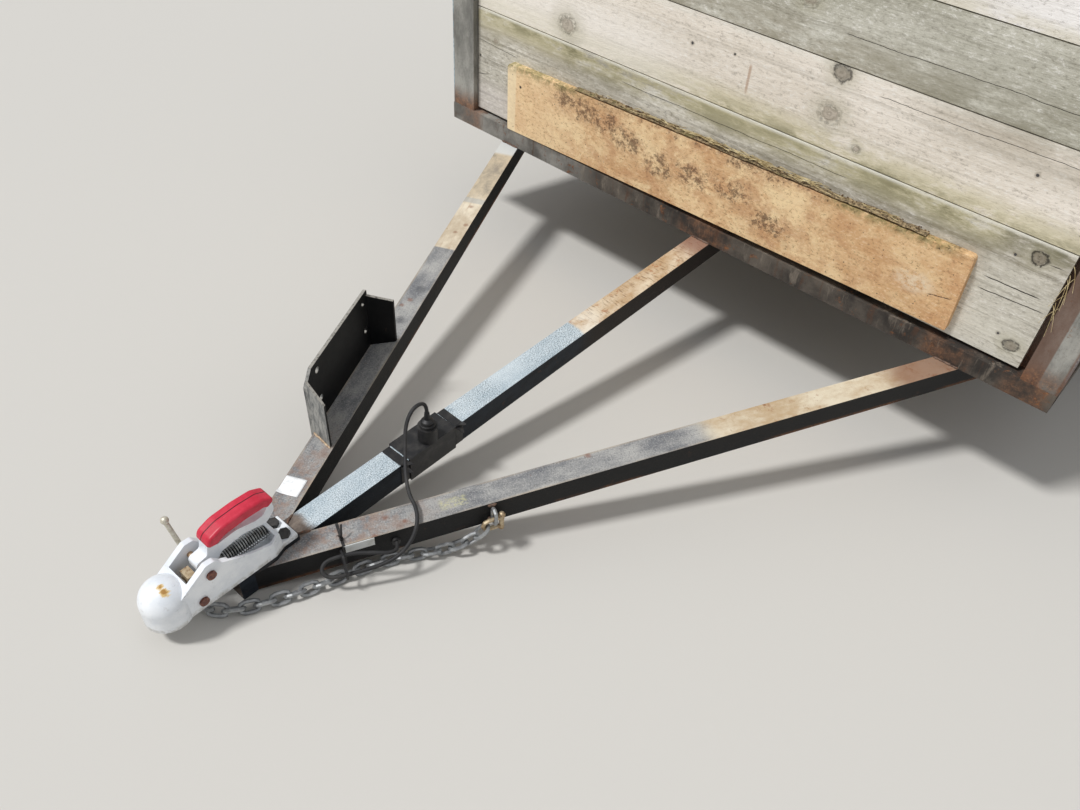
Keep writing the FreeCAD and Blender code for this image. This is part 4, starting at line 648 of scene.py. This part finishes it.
MOSS = (106, 102, 70)
YELLOW = (205, 196, 156)
GREY = (156, 147, 128)
PALE = (246, 243, 232)
FRONT_BOARDS = (
    # from the lowest board up
    dict(pale=(226, 221, 208), dark=(198, 193, 180), lines=0.6,
         knots=((0.694, 0.292, 0.013, 0.9), (0.719, 0.094, 0.012, 0.8), (-0.7, 0.255, 0.008, 0.3)),
         splits=((0.611, 0.734, 0.213, 0.012, 0.0006), (0.61, 0.751, 0.184, 0.05, 0.0005),
                 (0.709, 0.745, 0.287, 0.05, 0.0005), (-0.786, -0.721, 0.144, 0.21, 0.0005),
                 (-0.77, -0.62, 0.243, -0.05, 0.0003), (-0.3, 0.3, 0.288, 0.0, 0.0003)),
         tints=((0.29, 0.2, GREY, 0.5, 0.7),
                (0.1, 0.16, (226, 217, 214), 0.4, 0.9, -0.6, -0.56),
                (0.308, 0.258, YELLOW, 0.7, 0.75, 0.58, 0.66),
                (0.313, 0.284, MOSS, 0.6, 0.35, -0.22, -0.1),
                (0.313, 0.284, MOSS, 0.65, 0.32, 0.44, 0.32),
                (0.28, 0.235, MOSS, 0.4, 0.4, -0.42, -0.55),
                (0.2, 0.27, (222, 218, 204), 0.4, 0.8, 0.6, 0.5),
                (0.325, 0.316, PALE, 0.8, 0.8)),
         nails=((0.652, 0.28, 0.003), (0.688, 0.108, 0.003), (-0.755, 0.2, 0.003))),
    dict(pale=(247, 238, 226), dark=(226, 215, 199), lines=0.22,
         knots=((-0.469, 0.368, 0.019, 0.6), (0.22, 0.401, 0.018, 0.5), (0.222, 0.487, 0.015, 0.8),
                (0.294, 0.354, 0.007, 0.6)),
         splits=((0.3, 0.7, 0.47, 0.01, 0.0003),),
         tints=((0.338, 0.395, YELLOW, 0.65, 0.75), (0.331, 0.356, MOSS, 0.5, 0.35),
                (0.4, 0.48, (252, 247, 240), 0.5, 0.9, -0.3, 0.0),
                (0.496, 0.487, PALE, 0.4, 0.8), (0.5, 0.38, GREY, 0.45, 0.7, 0.55, 0.3)),
         nails=((-0.122, 0.436, 0.0035), (-0.016, 0.446, 0.0028), (0.627, 0.438, 0.0036)),
         streaks=((0.026, 0.442, 0.368),)),
    dict(pale=(212, 209, 196), dark=(176, 173, 156), lines=0.42,
         knots=((0.12, 0.6, 0.014, 0.5), (-0.52, 0.57, 0.01, 0.4)),
         splits=((0.2, 0.7, 0.56, 0.0, 0.0003),),
         tints=((0.515, 0.6, GREY, 0.6, 0.7), (0.51, 0.56, MOSS, 0.25, 0.3),
                (0.5, 0.68, (150, 148, 132), 0.45, 0.8, 0.5, 0.2))),
    dict(pale=(252, 248, 245), dark=(234, 227, 220), lines=0.25,
         knots=((-0.2, 0.74, 0.012, 0.5), (0.45, 0.77, 0.01, 0.4)),
         tints=((0.67, 0.7, YELLOW, 0.35, 0.7), (0.835, 0.8, PALE, 0.4, 0.8))),
)
WALL_TINTS = ((0.004, 0.05, YELLOW, 0.5, 0.6), (0.002, 0.022, MOSS, 0.5, 0.3),
              (0.174, 0.15, PALE, 0.35, 0.6), (0.255, 0.2, MOSS, 0.45, 0.3))
SIDE_WOOD = timber(
    "side_board_wood", (232, 226, 214), (204, 198, 184), "y", lines=0.45, courses=True, tints=WALL_TINTS,
    knots=((0.5, 0.2, 0.014, 0.6), (1.9, 0.43, 0.016, 0.5), (1.1, 0.58, 0.012, 0.5)),
    splits=((0.06, 0.5, 0.16, 0.02, 0.0005), (1.2, 1.9, 0.42, -0.01, 0.0004)))
GATE_WOOD = timber(
    "gate_board_wood", (230, 224, 210), (202, 196, 180), "x", lines=0.45, courses=True, tints=WALL_TINTS,
    knots=((0.3, 0.2, 0.014, 0.6), (-0.4, 0.42, 0.014, 0.5)))
GALVANISED = zinc("galvanised", (176, 178, 178), (132, 134, 136), (122, 92, 66), 0.2)
RUSTY_ZINC = zinc("rusty_zinc", (206, 190, 160), (160, 136, 104), (118, 72, 44), 0.45)
SPRING_STEEL = dark_steel("spring_steel", (34, 34, 35), (72, 70, 68))
COIL_STEEL = coil_steel()
TYRE_RUBBER = tyre_rubber()
CABLE_RUBBER = rubber("cable_rubber", (30, 30, 32), (64, 62, 60))
BLACK_PLASTIC = two_tone("black_plastic", 0.5, (0.012, 6), 0.42, 0.72, (24, 24, 26), (58, 56, 54),
                         (0.001, 2), 0.0001)
BLANK_PLATE = two_tone("blank_plate", 0.45, (0.015, 6), 0.4, 0.8, (226, 228, 226), (188, 186, 178))
PAPER = two_tone("label_paper", 0.55, (0.008, 6, 0.75), 0.45, 0.75, (246, 247, 248), (206, 208, 208),
                 (0.0012, 3), 0.00008)
WELD = weld_metal("weld_metal", (66, 50, 42), (120, 98, 84))
PALE_WELD = weld_metal("pale_weld_metal", (150, 124, 100), (206, 184, 156))
MULCH = mulch()
SOIL = two_tone("soil", 0.95, (0.004, 4), 0.35, 0.65, (70, 54, 38), (122, 98, 70))
STRAW = two_tone("straw", 0.85, (0.01, 4), 0.35, 0.65, (150, 128, 86), (206, 190, 148))


def wear(material, *nodes):
    """Gives the CAD nodes of these names the material."""
    for name in nodes:
        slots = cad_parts[name].data.materials
        slots.clear()
        slots.append(material)


for number, look in enumerate(FRONT_BOARDS, 1):
    wear(timber(f"front_board_{number}_wood", **look), f"front_board_{number}")
wear(side_arm("left_arm_paint", -1), "drawbar_arm_left")
wear(side_arm("right_arm_paint", 1), "drawbar_arm_right")
wear(middle_arm(), "drawbar_spine")
wear(plank_wood(), "kick_plank")
wear(grip_plastic(), "coupling_grip")
wear(black_paint(), "side_bracket")
wear(SIDE_WOOD, "left_boards", "right_boards")
wear(GATE_WOOD, "tailgate_boards")
wear(timber("floor_wood", (168, 152, 124), (128, 110, 84), "floor"), "floor_sheet")
wear(rusty_frame(), "front_crossmember", "rear_crossmember", "side_rails", "floor_crossmembers",
     "side_stakes", "tailgate_frame", "tailgate_hinges", "axle_beam", "spring_hangers", "hub_left",
     "hub_right")
wear(post_paint(), "front_posts", "rear_posts")
wear(GALVANISED, "gate_latches", "chain_lug", "safety_chain")
wear(RUSTY_ZINC, "coupling_clamp_block", "chain_shackle", "wheel_nuts_left", "wheel_nuts_right")
wear(SPRING_STEEL, "leaf_springs", "coupling_spring", "coupling_bolts")
# painted shade: the nose plate's near-black navy is the tone it has in the coupling's shade
wear(dark_steel("nose_plate_painted_shade", (20, 23, 29), (40, 42, 46)), "nose_plate")
wear(dark_steel("mudguard_paint", (48, 50, 52), (84, 84, 82)), "mudguard_left", "mudguard_right")
wear(enamel(), "coupling_body", "coupling_lever")
wear(zinc("rod_zinc", (226, 222, 208), (186, 178, 160), (132, 96, 70), 0.3), "coupling_lock_rod")
wear(pin_zinc(), "coupling_pins")
wear(CABLE_RUBBER, "wiring_cable")
wear(BLACK_PLASTIC, "cable_grommet", "trailer_plug", "plug_holder")
wear(BLANK_PLATE, "label_plate", "number_plate")
wear(lamp_lens(), "tail_lamps")
wear(TYRE_RUBBER, "tyre_left", "tyre_right")
wear(zinc("wheel_paint", (196, 198, 200), (160, 162, 164), (120, 84, 60), 0.12), "wheel_left", "wheel_right")


# Pieces that only the picture needs

def put(name, data):
    """A new object in the scene."""
    made = bpy.data.objects.new(name, data)
    bpy.context.scene.collection.objects.link(made)
    return made


def add_piece(name, data, material, slot, body="trailer", replaced=None):
    """A mesh or curve that rides on a body, and stands for a CAD node if one is named."""
    data.materials.append(material)
    piece = put(name, data)
    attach(piece, body)
    if replaced:
        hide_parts(replaced)
    return piece


def add_mesh(name, points, faces, material, slot, smooth=True, **riding):
    mesh = bpy.data.meshes.new(name)
    mesh.from_pydata([tuple(point) for point in points], [], faces)
    mesh.validate()
    mesh.polygons.foreach_set("use_smooth", [smooth] * len(mesh.polygons))
    return add_piece(name, mesh, material, slot, **riding)


def add_curve(name, runs, radius, material, slot, kind="NURBS", sides=3, resolution=8, **riding):
    """Round bars along rows of (x, y, z) or (x, y, z, radius share) in the parked frame."""
    curve = bpy.data.curves.new(name, "CURVE")
    curve.dimensions = "3D"
    curve.bevel_depth = radius
    curve.bevel_resolution = sides
    curve.use_fill_caps = True
    for rows in runs:
        spline = curve.splines.new(kind)
        spline.points.add(len(rows) - 1)
        for point, row in zip(spline.points, rows):
            point.co = (*row[:3], 1)
            point.radius = row[3] if len(row) > 3 else 1.0
        if kind == "NURBS":
            spline.order_u = 3
            spline.use_endpoint_u = True
            spline.resolution_u = resolution
    return add_piece(name, curve, material, slot, **riding)


def net(lines, count, base=0, round_lines=False, round_points=True, flip=False):
    """Faces between lines of count points. Either may close on itself. Flip turns the faces over."""
    faces = []
    for line in range(lines if round_lines else lines - 1):
        one, two = base + line * count, base + (line + 1) % lines * count
        for point in range(count if round_points else count - 1):
            after = (point + 1) % count
            ring = (one + point, one + after, two + after, two + point)
            faces.append(ring[:1] + ring[:0:-1] if flip else ring)
    return faces


CABLE_DIAMETER = 0.007
CABLE_BESIDE = (
    # outward from the right arm's face, along it, height
    (0.005, 0.24, -0.025), (0.019, 0.24, -0.025), (0.027, 0.223, -0.019), (0.02, 0.196, -0.014),
    (0.012, 0.165, -0.011), (0.011, 0.138, -0.01), (0.012, 0.116, -0.012), (0.022, 0.106, -0.022),
    (0.032, 0.116, -0.031), (0.035, 0.138, -0.033), (0.035, 0.168, -0.034), (0.036, 0.2, -0.033),
    (0.034, 0.232, -0.027), (0.025, 0.259, -0.012), (0.006, 0.279, 0.009), (-0.024, 0.286, 0.015),
)
CABLE_ACROSS = (
    # X, Y, height
    (0.094, -1.028, 0.016), (0.064, -1.007, 0.026), (0.04, -0.985, 0.046), (0.023, -0.968, 0.071),
    (0.015, -0.953, 0.092), (0.012, -0.931, 0.106), (0.012, -0.905, 0.095), (0.012, -0.905, 0.07),
)


def wiring_cable():
    route = [on_arm(1, *row) for row in CABLE_BESIDE] + [level(*row) for row in CABLE_ACROSS]
    piece = add_curve("wiring_cable_sheath", [route], CABLE_DIAMETER / 2, CABLE_RUBBER, "cable_rubber",
                      sides=4, resolution=12, replaced="wiring_cable")


def coupling_coil():
    """The coupling's spring: a close helix of fine wire round a core painted near-black as shade."""
    first, last, radius, wire_radius, core_share = -1.332, -1.2545, 0.0117, 0.00125, 6.4
    turns, steps = 18, 20
    wire = []
    for step in range(turns * steps + 1):
        angle = math.tau * step / steps
        along = first + (last - first) * step / (turns * steps)
        wire.append(level(radius * math.cos(angle), along, COIL_HEIGHT + radius * math.sin(angle)))
    # the core's near-black from coil_steel is painted shade
    core = [(*level(0, along, COIL_HEIGHT), core_share) for along in (first - 0.001, last + 0.001)]
    add_curve("coupling_coil", [wire, core], wire_radius, COIL_STEEL, "spring_steel", kind="POLY", sides=2,
              replaced="coupling_spring")


WELD_STEP = 0.0032
WELD_RIPPLE = 0.0006


def weld(name, runs, radius, material, seed):
    """Beads laid in small ripples along straight runs."""
    draw = random.Random(seed).uniform
    rows = []
    for first, last in runs:
        steps = max(4, round((last - first).length / WELD_STEP))
        row = []
        for step in range(steps + 1):
            point = first.lerp(last, step / steps)
            point += Vector([draw(-WELD_RIPPLE, WELD_RIPPLE) for axis in range(3)])
            row.append((*point, draw(0.7, 1.15) if 0 < step < steps else 0.4))
        rows.append(row)
    add_curve(name, rows, radius, material, "rusty_steel", kind="POLY", sides=2)


def arm_crossing(sign):
    """Where a side arm's two faces meet the front crossmember, as points on its top."""
    ends = []
    for outward in (-ARM_WIDTH, 0.0):
        out = ARM_WIDTH / 2 + outward
        along = (ARM_REACH + out * math.sin(ARM_LEAN)) / math.cos(ARM_LEAN)
        ends.append(on_arm(sign, outward, along - 0.001, 0.0008))
    return ends


def welds():
    half = ARM_WIDTH / 2
    bed = [arm_crossing(-1), arm_crossing(1), (level(-half, -0.001, 0.0008), level(half, -0.001, 0.0008))]
    weld("bed_welds", bed, 0.0032, WELD, 11)
    inner = [(level(0, -1.2385, 0.0004), level(side * half, -1.187, 0.0004)) for side in (-1, 1)]
    weld("junction_welds", inner, 0.0026, WELD, 12)
    feet = []
    for outer_along, inner_along in ((0.2945, 0.2685), (0.566, 0.592)):
        feet.append((on_arm(-1, -0.001, outer_along, 0.0006), on_arm(-1, -0.045, inner_along, 0.0006)))
    weld("bracket_welds", feet, 0.0026, PALE_WELD, 13)
    ring = [[on_arm(1, 0.0008, along, height) for along in (0.407, 0.423)] for height in (-0.004, -0.038)]
    weld("ring_welds", ring, 0.003, WELD, 14)


def sticker():
    """Blank white label on the left arm, its front corner lifting."""
    cells = 10
    side = cells + 1
    points = []
    for layer in (0.0, 1.0):
        for row in range(side):
            for column in range(side):
                u, v = row / cells, column / cells
                wrinkle = noise.noise(Vector((u * 3, v * 3, 4.0))) * 0.0003 + 0.0003
                corner = max(0.0, 0.22 - u - (1 - v)) * 0.012
                height = 0.0002 + (wrinkle + corner) + layer * 0.00025
                points.append(on_arm(-1, -0.041 + 0.04 * v, 0.1445 + 0.041 * u, height))
    size = side ** 2
    faces = net(side, side, round_points=False)
    faces += [tuple(corner + size for corner in reversed(ring)) for ring in faces]
    edge = list(range(cells))
    edge += [cells + side * k for k in range(cells)]
    edge += [size - 1 - k for k in range(cells)]
    edge += [side * (cells - k) for k in range(cells)]
    for first, second in zip(edge, edge[1:] + edge[:1]):
        faces.append((first, first + size, second + size, second))
    add_mesh("blank_sticker", points, faces, PAPER, "plate_white")


def round_corners(corners, radius, steps=3):
    """Closed path through corners in two numbers, each rounded."""
    path = []
    count = len(corners)
    for index, corner in enumerate(corners):
        middle = Vector(corner)
        before = (Vector(corners[index - 1]) - middle).normalized() * radius
        after = (Vector(corners[(index + 1) % count]) - middle).normalized() * radius
        for step in range(steps + 1):
            share = step / steps
            path.append(middle + before * (1 - share) ** 2 + after * share ** 2)
    return path


def round_tube(left, hug, steps=3):
    """Closed path that hugs an arm whose left face is there and whose top is at height 0."""
    right, low = left + ARM_WIDTH + hug, -ARM_WIDTH - hug
    return round_corners(((left - hug, hug), (right, hug), (right, low), (left - hug, low)), 0.003, steps)


def strap(name, points, closed=False):
    """Black plastic bar through sections of four corners each."""
    faces = net(len(points) // 4, 4, round_lines=closed)
    if not closed:
        last = len(points) - 4
        faces += [(3, 2, 1, 0), (last, last + 1, last + 2, last + 3)]
    add_mesh(name, points, faces, BLACK_PLASTIC, "black_plastic", smooth=False)


def ribbon(name, centres, across, width, thickness, closed=False):
    """A flat strap along the centres, its width in one direction."""
    count = len(centres)
    side = across.normalized()
    half = side * width / 2
    points = []
    for index, centre in enumerate(centres):
        before = centres[index - 1] if index or closed else centre
        after = centres[(index + 1) % count] if closed or index + 1 < count else centre
        flat = (after - before).cross(side).normalized() * thickness / 2
        points += [centre - half - flat, centre + half - flat, centre + half + flat, centre - half + flat]
    strap(name, points, closed)


TIE_PLACE = 0.152
TIE_HEAD_OUT = -0.013
TIE_HEAD_SIZE = (0.007, 0.0065, 0.005)
LOOP_TIE_CORNERS = (
    # outward, height
    (0.0017, -0.003), (0.022, 0.001), (0.043, -0.026), (0.041, -0.042), (0.028, -0.042), (0.0017, -0.02))
TIE_TAILS = (
    # lean outward, lean along, length, width
    (-0.35, 0.15, 0.03, 0.0036), (0.3, -0.3, 0.024, 0.0028))


def cable_ties():
    """Black tie round the right arm, and another from it round the cable's loop."""
    along = on_arm(1, 0, 1, 0) - on_arm(1, 0, 0, 0)
    band = [on_arm(1, outward, TIE_PLACE, height) for outward, height in round_tube(-ARM_WIDTH, 0.0009)]
    ribbon("arm_tie", band, along, 0.0048, 0.0012, closed=True)
    hanging = round_corners(LOOP_TIE_CORNERS, 0.007)
    loop = [on_arm(1, outward, TIE_PLACE - 0.006, height) for outward, height in hanging]
    ribbon("cable_loop_tie", loop, along, 0.0036, 0.0011, closed=True)
    head = bmesh.new()
    bmesh.ops.create_cube(head, size=1.0)
    bmesh.ops.bevel(head, geom=head.edges[:], offset=0.18, segments=2, affect="EDGES")
    turned = PARK.to_3x3() @ Matrix.Rotation(-ARM_LEAN, 3, "Z")
    for point in head.verts:
        point.co = on_arm(1, TIE_HEAD_OUT, TIE_PLACE, 0.0034) + turned @ (point.co * Vector(TIE_HEAD_SIZE))
    mesh = bpy.data.meshes.new("tie_head")
    head.to_mesh(mesh)
    head.free()
    add_piece("tie_head", mesh, BLACK_PLASTIC, "black_plastic")
    for number, (lean_out, lean_along, length, width) in enumerate(TIE_TAILS, 1):
        tail = []
        for step in range(7):
            share = step / 6
            tail.append(on_arm(1, TIE_HEAD_OUT + lean_out * length * share ** 1.5,
                               TIE_PLACE + lean_along * length * share,
                               0.005 + length * share * (1 - 0.25 * share)))
        ribbon(f"tie_tail_{number}", tail, along, width, 0.001)


def tapes():
    """Black tape round the middle arm at both ends of the plug's holder, its ends torn loose."""
    rows = 5
    for number, (middle, seed) in enumerate(((-0.8385, 3), (-0.9765, 8)), 1):
        draw = random.Random(seed).uniform
        path = round_tube(-ARM_WIDTH / 2, 0.0008, 4)
        centres = [level(x, middle + draw(-0.0008, 0.0008), z) for x, z in path]
        ribbon(f"tape_{number}", centres, PARK.to_3x3() @ Vector((0, 1, 0)), 0.018, 0.001, closed=True)
        for flap in range(2):
            base = middle + draw(-0.004, 0.004)
            reach = draw(0.016, 0.026)
            rise = draw(0.004, 0.012) * (1 if flap == 0 else -0.4)
            turn = draw(-0.5, 0.5)
            points = []
            for step in range(rows + 1):
                share = step / rows
                half = 0.007 * (1 - share) ** 0.7 + 0.0006
                curl = 0.0015 * math.sin(share * 5 + flap)
                x, y = 0.0252 + reach * share, base + turn * reach * share
                z = 0.0004 - 0.006 * flap + rise * share ** 1.3 + curl
                for offset, lift in ((-half, 0.0), (half, 0.0), (half, 0.0006), (-half, 0.0006)):
                    points.append(level(x, y + offset, z + lift))
            strap(f"tape_{number}_flap_{flap + 1}", points)


def mulch_bed():
    """A low ridge of mulch along the plank's top edge, thick where it gathers."""
    first, last, steps, deep = -0.42, 0.49, 182, 6
    points = []
    for column in range(steps + 1):
        x = first + (last - first) * column / steps
        thick = noise.noise(Vector((x * 9, 0.0, 2.0))) * 0.7 + noise.noise(Vector((x * 40, 3.0, 2.0))) * 0.4
        spread = min(1.0, max(0.0, (x + 0.36) / 0.06)) * min(1.0, max(0.0, (0.5 - x) / 0.06))
        most = max(0.0, thick + 0.16) * (0.15 + 0.85 * spread) * 0.01
        sunk = -0.0012 if most < 0.0012 else 0.0001
        for row in range(deep + 1):
            share = row / deep
            bump = noise.noise(Vector((x * 220, share * 6, 7.0))) * 0.35 + 0.75
            height = most * (0.35 + 0.65 * share) * bump if 0 < row < deep else most * (0.9 if row else 0.1)
            points.append(level(x, -0.0015 + 0.019 * share, plank_top(x) + sunk + height))
    add_mesh("plank_litter", points, net(steps + 1, deep + 1, round_points=False, flip=True), MULCH,
             "rusty_steel")


def litter():
    """Soil, moss and straw that lie on the plank's top edge."""
    mulch_bed()
    chance = random.Random(5)
    draw = chance.uniform
    points = []
    faces = []
    for index in range(330):
        x = chance.choice((draw(-0.36, 0.5), chance.gauss(0.05, 0.09), chance.gauss(-0.22, 0.06)))
        x = min(0.54, max(-0.5, x))
        radius = draw(0.0007, 0.0024)
        centre = Vector((x, draw(0.0, 0.015), plank_top(x) + 0.003 + draw(0, 0.003)))
        grain = bmesh.new()
        bmesh.ops.create_icosphere(grain, subdivisions=1, radius=radius)
        base = len(points)
        for point in grain.verts:
            stretch = Vector((draw(0.7, 1.5), draw(0.7, 1.2), draw(0.5, 1.0)))
            points.append(PARK @ (centre + point.co * stretch))
        faces += [tuple(base + point.index for point in face.verts) for face in grain.faces]
        grain.free()
    add_mesh("plank_grains", points, faces, SOIL, "rusty_steel", smooth=False)

    rows = []
    for index in range(72):
        x = chance.choice((draw(-0.36, 0.5), chance.gauss(0.02, 0.1)))
        length = draw(0.018, 0.085)
        turn = chance.gauss(0, 0.22) + (math.pi if chance.random() < 0.5 else 0.0)
        y = draw(0.001, 0.013)
        rise = draw(0.0045, 0.0085)
        row = []
        for step in range(5):
            share = step / 4 - 0.5
            px = x + math.cos(turn) * length * share
            py = min(0.0165, max(-0.004, y + math.sin(turn) * length * share))
            pz = plank_top(px) + rise + 0.0016 * math.sin(share * 6 + index)
            row.append((*level(px, py, pz), draw(0.6, 1.1)))
        rows.append(row)
    add_curve("plank_straw", rows, 0.0009, STRAW, "tan_timber", sides=1)

    # straw caught between the right front post and the boards
    rows = []
    for index in range(9):
        z = 0.205 + 0.012 * index + draw(-0.01, 0.01)
        length = draw(0.03, 0.065)
        lean = draw(-1.3, -0.5)
        row = []
        for step in range(6):
            share = step / 5
            x = 0.7585 + length * 0.55 * math.cos(lean) * (share - 0.35) * (1 if index % 3 else -1)
            point = level(x, 0.022 - 0.036 * share, z + length * math.sin(lean) * share * share)
            row.append((*point, 1.0 - 0.5 * share))
        rows.append(row)
    add_curve("post_straw", rows, 0.0007, STRAW, "tan_timber", sides=1)


DOME_RINGS = (
    # share of the radius, share of the rise; the first ring is sunk instead
    (1.0, None), (1.0, 0.25), (0.8, 0.72), (0.42, 0.97))
DOME_SUNK = -0.0005


def domes(name, rows, radius, rise, material, slot):
    """Round heads of bolts or screws. Rows are (place, outward direction) in the level frame."""
    segments = 16
    points = []
    faces = []
    for centre, outward in rows:
        turn = Vector((0, 0, 1)).rotation_difference(Vector(outward)).to_matrix()
        base = len(points)
        for share, lift in DOME_RINGS:
            height = DOME_SUNK if lift is None else rise * lift
            for step in range(segments):
                angle = math.tau * step / segments
                local = Vector((radius * share * math.cos(angle), radius * share * math.sin(angle), height))
                points.append(PARK @ (Vector(centre) + turn @ local))
        faces += net(len(DOME_RINGS), segments, base)
        top = len(points) - segments
        faces += [(top + step, top + (step + 1) % segments, len(points)) for step in range(segments)]
        points.append(PARK @ (Vector(centre) + turn @ Vector((0, 0, rise))))
    add_mesh(name, points, faces, material, slot)


STAKE_PLACES = (0.7564, 1.6836)
STAKE_FACE = 0.83
SIDE_FACE = 0.822
SIDE_SCREW_PLACES = (0.068, 2.372)
FRONT_NAIL_PLACES = (-0.748, 0.738)
PLATE_FACE = 2.442
PLATE_HEIGHT = -0.022


def fasteners():
    tops = [bottom - BOARD_GAP for bottom in BOARD_BOTTOMS[1:]] + [WALL_TOP]
    boards = list(zip(BOARD_BOTTOMS, tops))
    bolts = []
    screws = []
    for sign in (-1, 1):
        for bottom, top in boards:
            middle = (bottom + top) / 2 + 0.02
            bolts += [((sign * STAKE_FACE, y, middle), (sign, 0, 0)) for y in STAKE_PLACES]
            for y in SIDE_SCREW_PLACES:
                screws += [((sign * SIDE_FACE, y, z), (sign, 0, 0)) for z in (bottom + 0.03, top - 0.03)]
    domes("stake_bolts", bolts, 0.0085, 0.0042, RUSTY_ZINC, "rusty_pin")
    domes("side_board_screws", screws, 0.0042, 0.001, RUSTY_ZINC, "rusty_pin")
    nails = []
    for bottom, top in boards[1:]:
        for x in FRONT_NAIL_PLACES:
            nails += [((x, BOARD_FRONT, z), (0, -1, 0)) for z in (bottom + 0.035, top - 0.035)]
    domes("front_board_nails", nails, 0.0028, 0.0007, SPRING_STEEL, "rusty_pin")
    plate = [((x, PLATE_FACE, PLATE_HEIGHT), (0, 1, 0)) for x in (-0.14, 0.14)]
    domes("number_plate_screws", plate, 0.0045, 0.002, GALVANISED, "zinc_steel")


TREAD_COLUMNS = (
    # half of the tread: across, radius and depth of the cross grooves in mm, slant in radians
    (0.0, 325.0, 0.0, 0.0), (7.0, 325.0, 0.0, 0.0), (10.5, 325.0, 1.6, 0.0), (11.5, 318.0, 0.0, 0.0),
    (16.5, 318.0, 0.0, 0.01), (17.5, 325.0, 4.0, 0.012), (26.0, 324.9, 4.5, 0.024),
    (34.5, 324.6, 4.0, 0.036), (35.5, 317.6, 0.0, 0.038), (40.5, 317.4, 0.0, 0.05),
)
WALL_SLANT = 0.052
WALL_COLUMNS = (
    # shoulder and sidewall down to the wheel: across, radius and depth of the cross grooves in mm
    (41.5, 324.3, 5.5), (52.0, 323.0, 6.0), (62.0, 320.8, 6.0), (69.0, 317.4, 5.5), (74.5, 312.6, 4.5),
    (79.0, 306.0, 3.0), (82.5, 299.0, 1.0), (85.0, 292.0, 0), (87.2, 284.0, 0), (88.2, 281.0, 0),
    (87.6, 278.5, 0), (89.4, 268.0, 0), (90.8, 256.0, 0), (91.2, 244.0, 0), (90.2, 232.0, 0),
    (88.4, 222.0, 0), (87.6, 216.0, 0), (88.2, 213.0, 0), (85.0, 208.5, 0), (79.0, 202.0, 0),
    (73.0, 198.0, 0), (69.6, 195.0, 0), (69.4, 186.0, 0), (69.4, 178.4, 0),
)
TREAD_PITCHES = 60
PITCH_STEPS = (
    # share of a pitch, share of the groove's depth
    (0.0, 0.0), (0.035, 1.0), (0.12, 1.0), (0.155, 0.0), (0.45, 0.0), (0.76, 0.0))


def tyres():
    """Tyres with ribs and cross grooves, in place of the smooth solids."""
    half = [*TREAD_COLUMNS, *((*column, WALL_SLANT) for column in WALL_COLUMNS)]
    columns = [(-x, radius, cut, -slant) for x, radius, cut, slant in half[:0:-1]] + half
    for side, sign in SIDES:
        points = []
        for pitch in range(TREAD_PITCHES):
            for fraction, groove in PITCH_STEPS:
                for x, radius, cut, slant in columns:
                    angle = math.tau * (pitch + fraction) / TREAD_PITCHES + slant
                    r = (radius - cut * groove) / 1000
                    points.append(level(TYRE_PLACE.x * sign + x / 1000, TYRE_PLACE.y + r * math.cos(angle),
                                        TYRE_PLACE.z + r * math.sin(angle)))
        faces = net(TREAD_PITCHES * len(PITCH_STEPS), len(columns), round_lines=True, flip=True)
        add_mesh(f"tyre_{side}_tread", points, faces, TYRE_RUBBER, "tyre", body=f"{side}_wheel",
                 replaced=f"tyre_{side}")


VALVE_PLACE = (1.014, 1.35, 0.008)


def valves():
    for side, sign in SIDES:
        root = Vector((sign * VALVE_PLACE[0], *VALVE_PLACE[1:]))
        rows = []
        for share, radius in ((0.0, 1.5), (0.25, 1.2), (0.5, 1.0), (0.52, 1.25), (1.0, 1.2)):
            rows.append((*(PARK @ (root + Vector((sign * 0.026 * share, 0, -0.006 * share)))), radius))
        add_curve(f"valve_{side}", [rows], 0.0035, BLACK_PLASTIC, "black_plastic", kind="POLY",
                  body=f"{side}_wheel")


# Camera at the photograph's place, and a plain studio

CAMERA_PLACE = (0.9078, -2.3586, 1.2386)
CAMERA_TURN = (52.237, -8.729, 41.042)
LENS = 30.877
FLOOR_HALF = 30.0


def camera():
    data = bpy.data.cameras.new("camera")
    data.sensor_width = 36
    data.lens = LENS
    made = put("camera", data)
    made.location = CAMERA_PLACE
    made.rotation_euler = Euler([math.radians(angle) for angle in CAMERA_TURN], "XYZ")
    bpy.context.scene.camera = made


def studio():
    """Pale floor, one broad soft key from the trailer's front left, and even fill."""
    corners = [(x * FLOOR_HALF, y * FLOOR_HALF, 0) for x, y in ((-1, -1), (1, -1), (1, 1), (-1, 1))]
    mesh = bpy.data.meshes.new("floor")
    mesh.from_pydata(corners, [], [(0, 1, 2, 3)])
    mesh.materials.append(Paint("floor", 0.9).done(srgb((206, 203, 197))))
    put("floor", mesh)
    key = bpy.data.lights.new("key", "SUN")
    key.energy = 2.5
    key.angle = math.radians(9)
    lamp = put("key", key)
    lamp.rotation_euler = Vector((-0.28, -0.62, 0.95)).to_track_quat("Z", "Y").to_euler()
    world = bpy.data.worlds.new("studio")
    bpy.context.scene.world = world
    world.use_nodes = True
    sky = world.node_tree.nodes["Background"]
    sky.inputs["Color"].default_value = (0.95, 0.97, 1.0, 1.0)
    sky.inputs["Strength"].default_value = 0.5
    bpy.context.scene.view_settings.view_transform = "Standard"


wiring_cable()
coupling_coil()
welds()
sticker()
cable_ties()
tapes()
litter()
fasteners()
tyres()
valves()
camera()
studio()
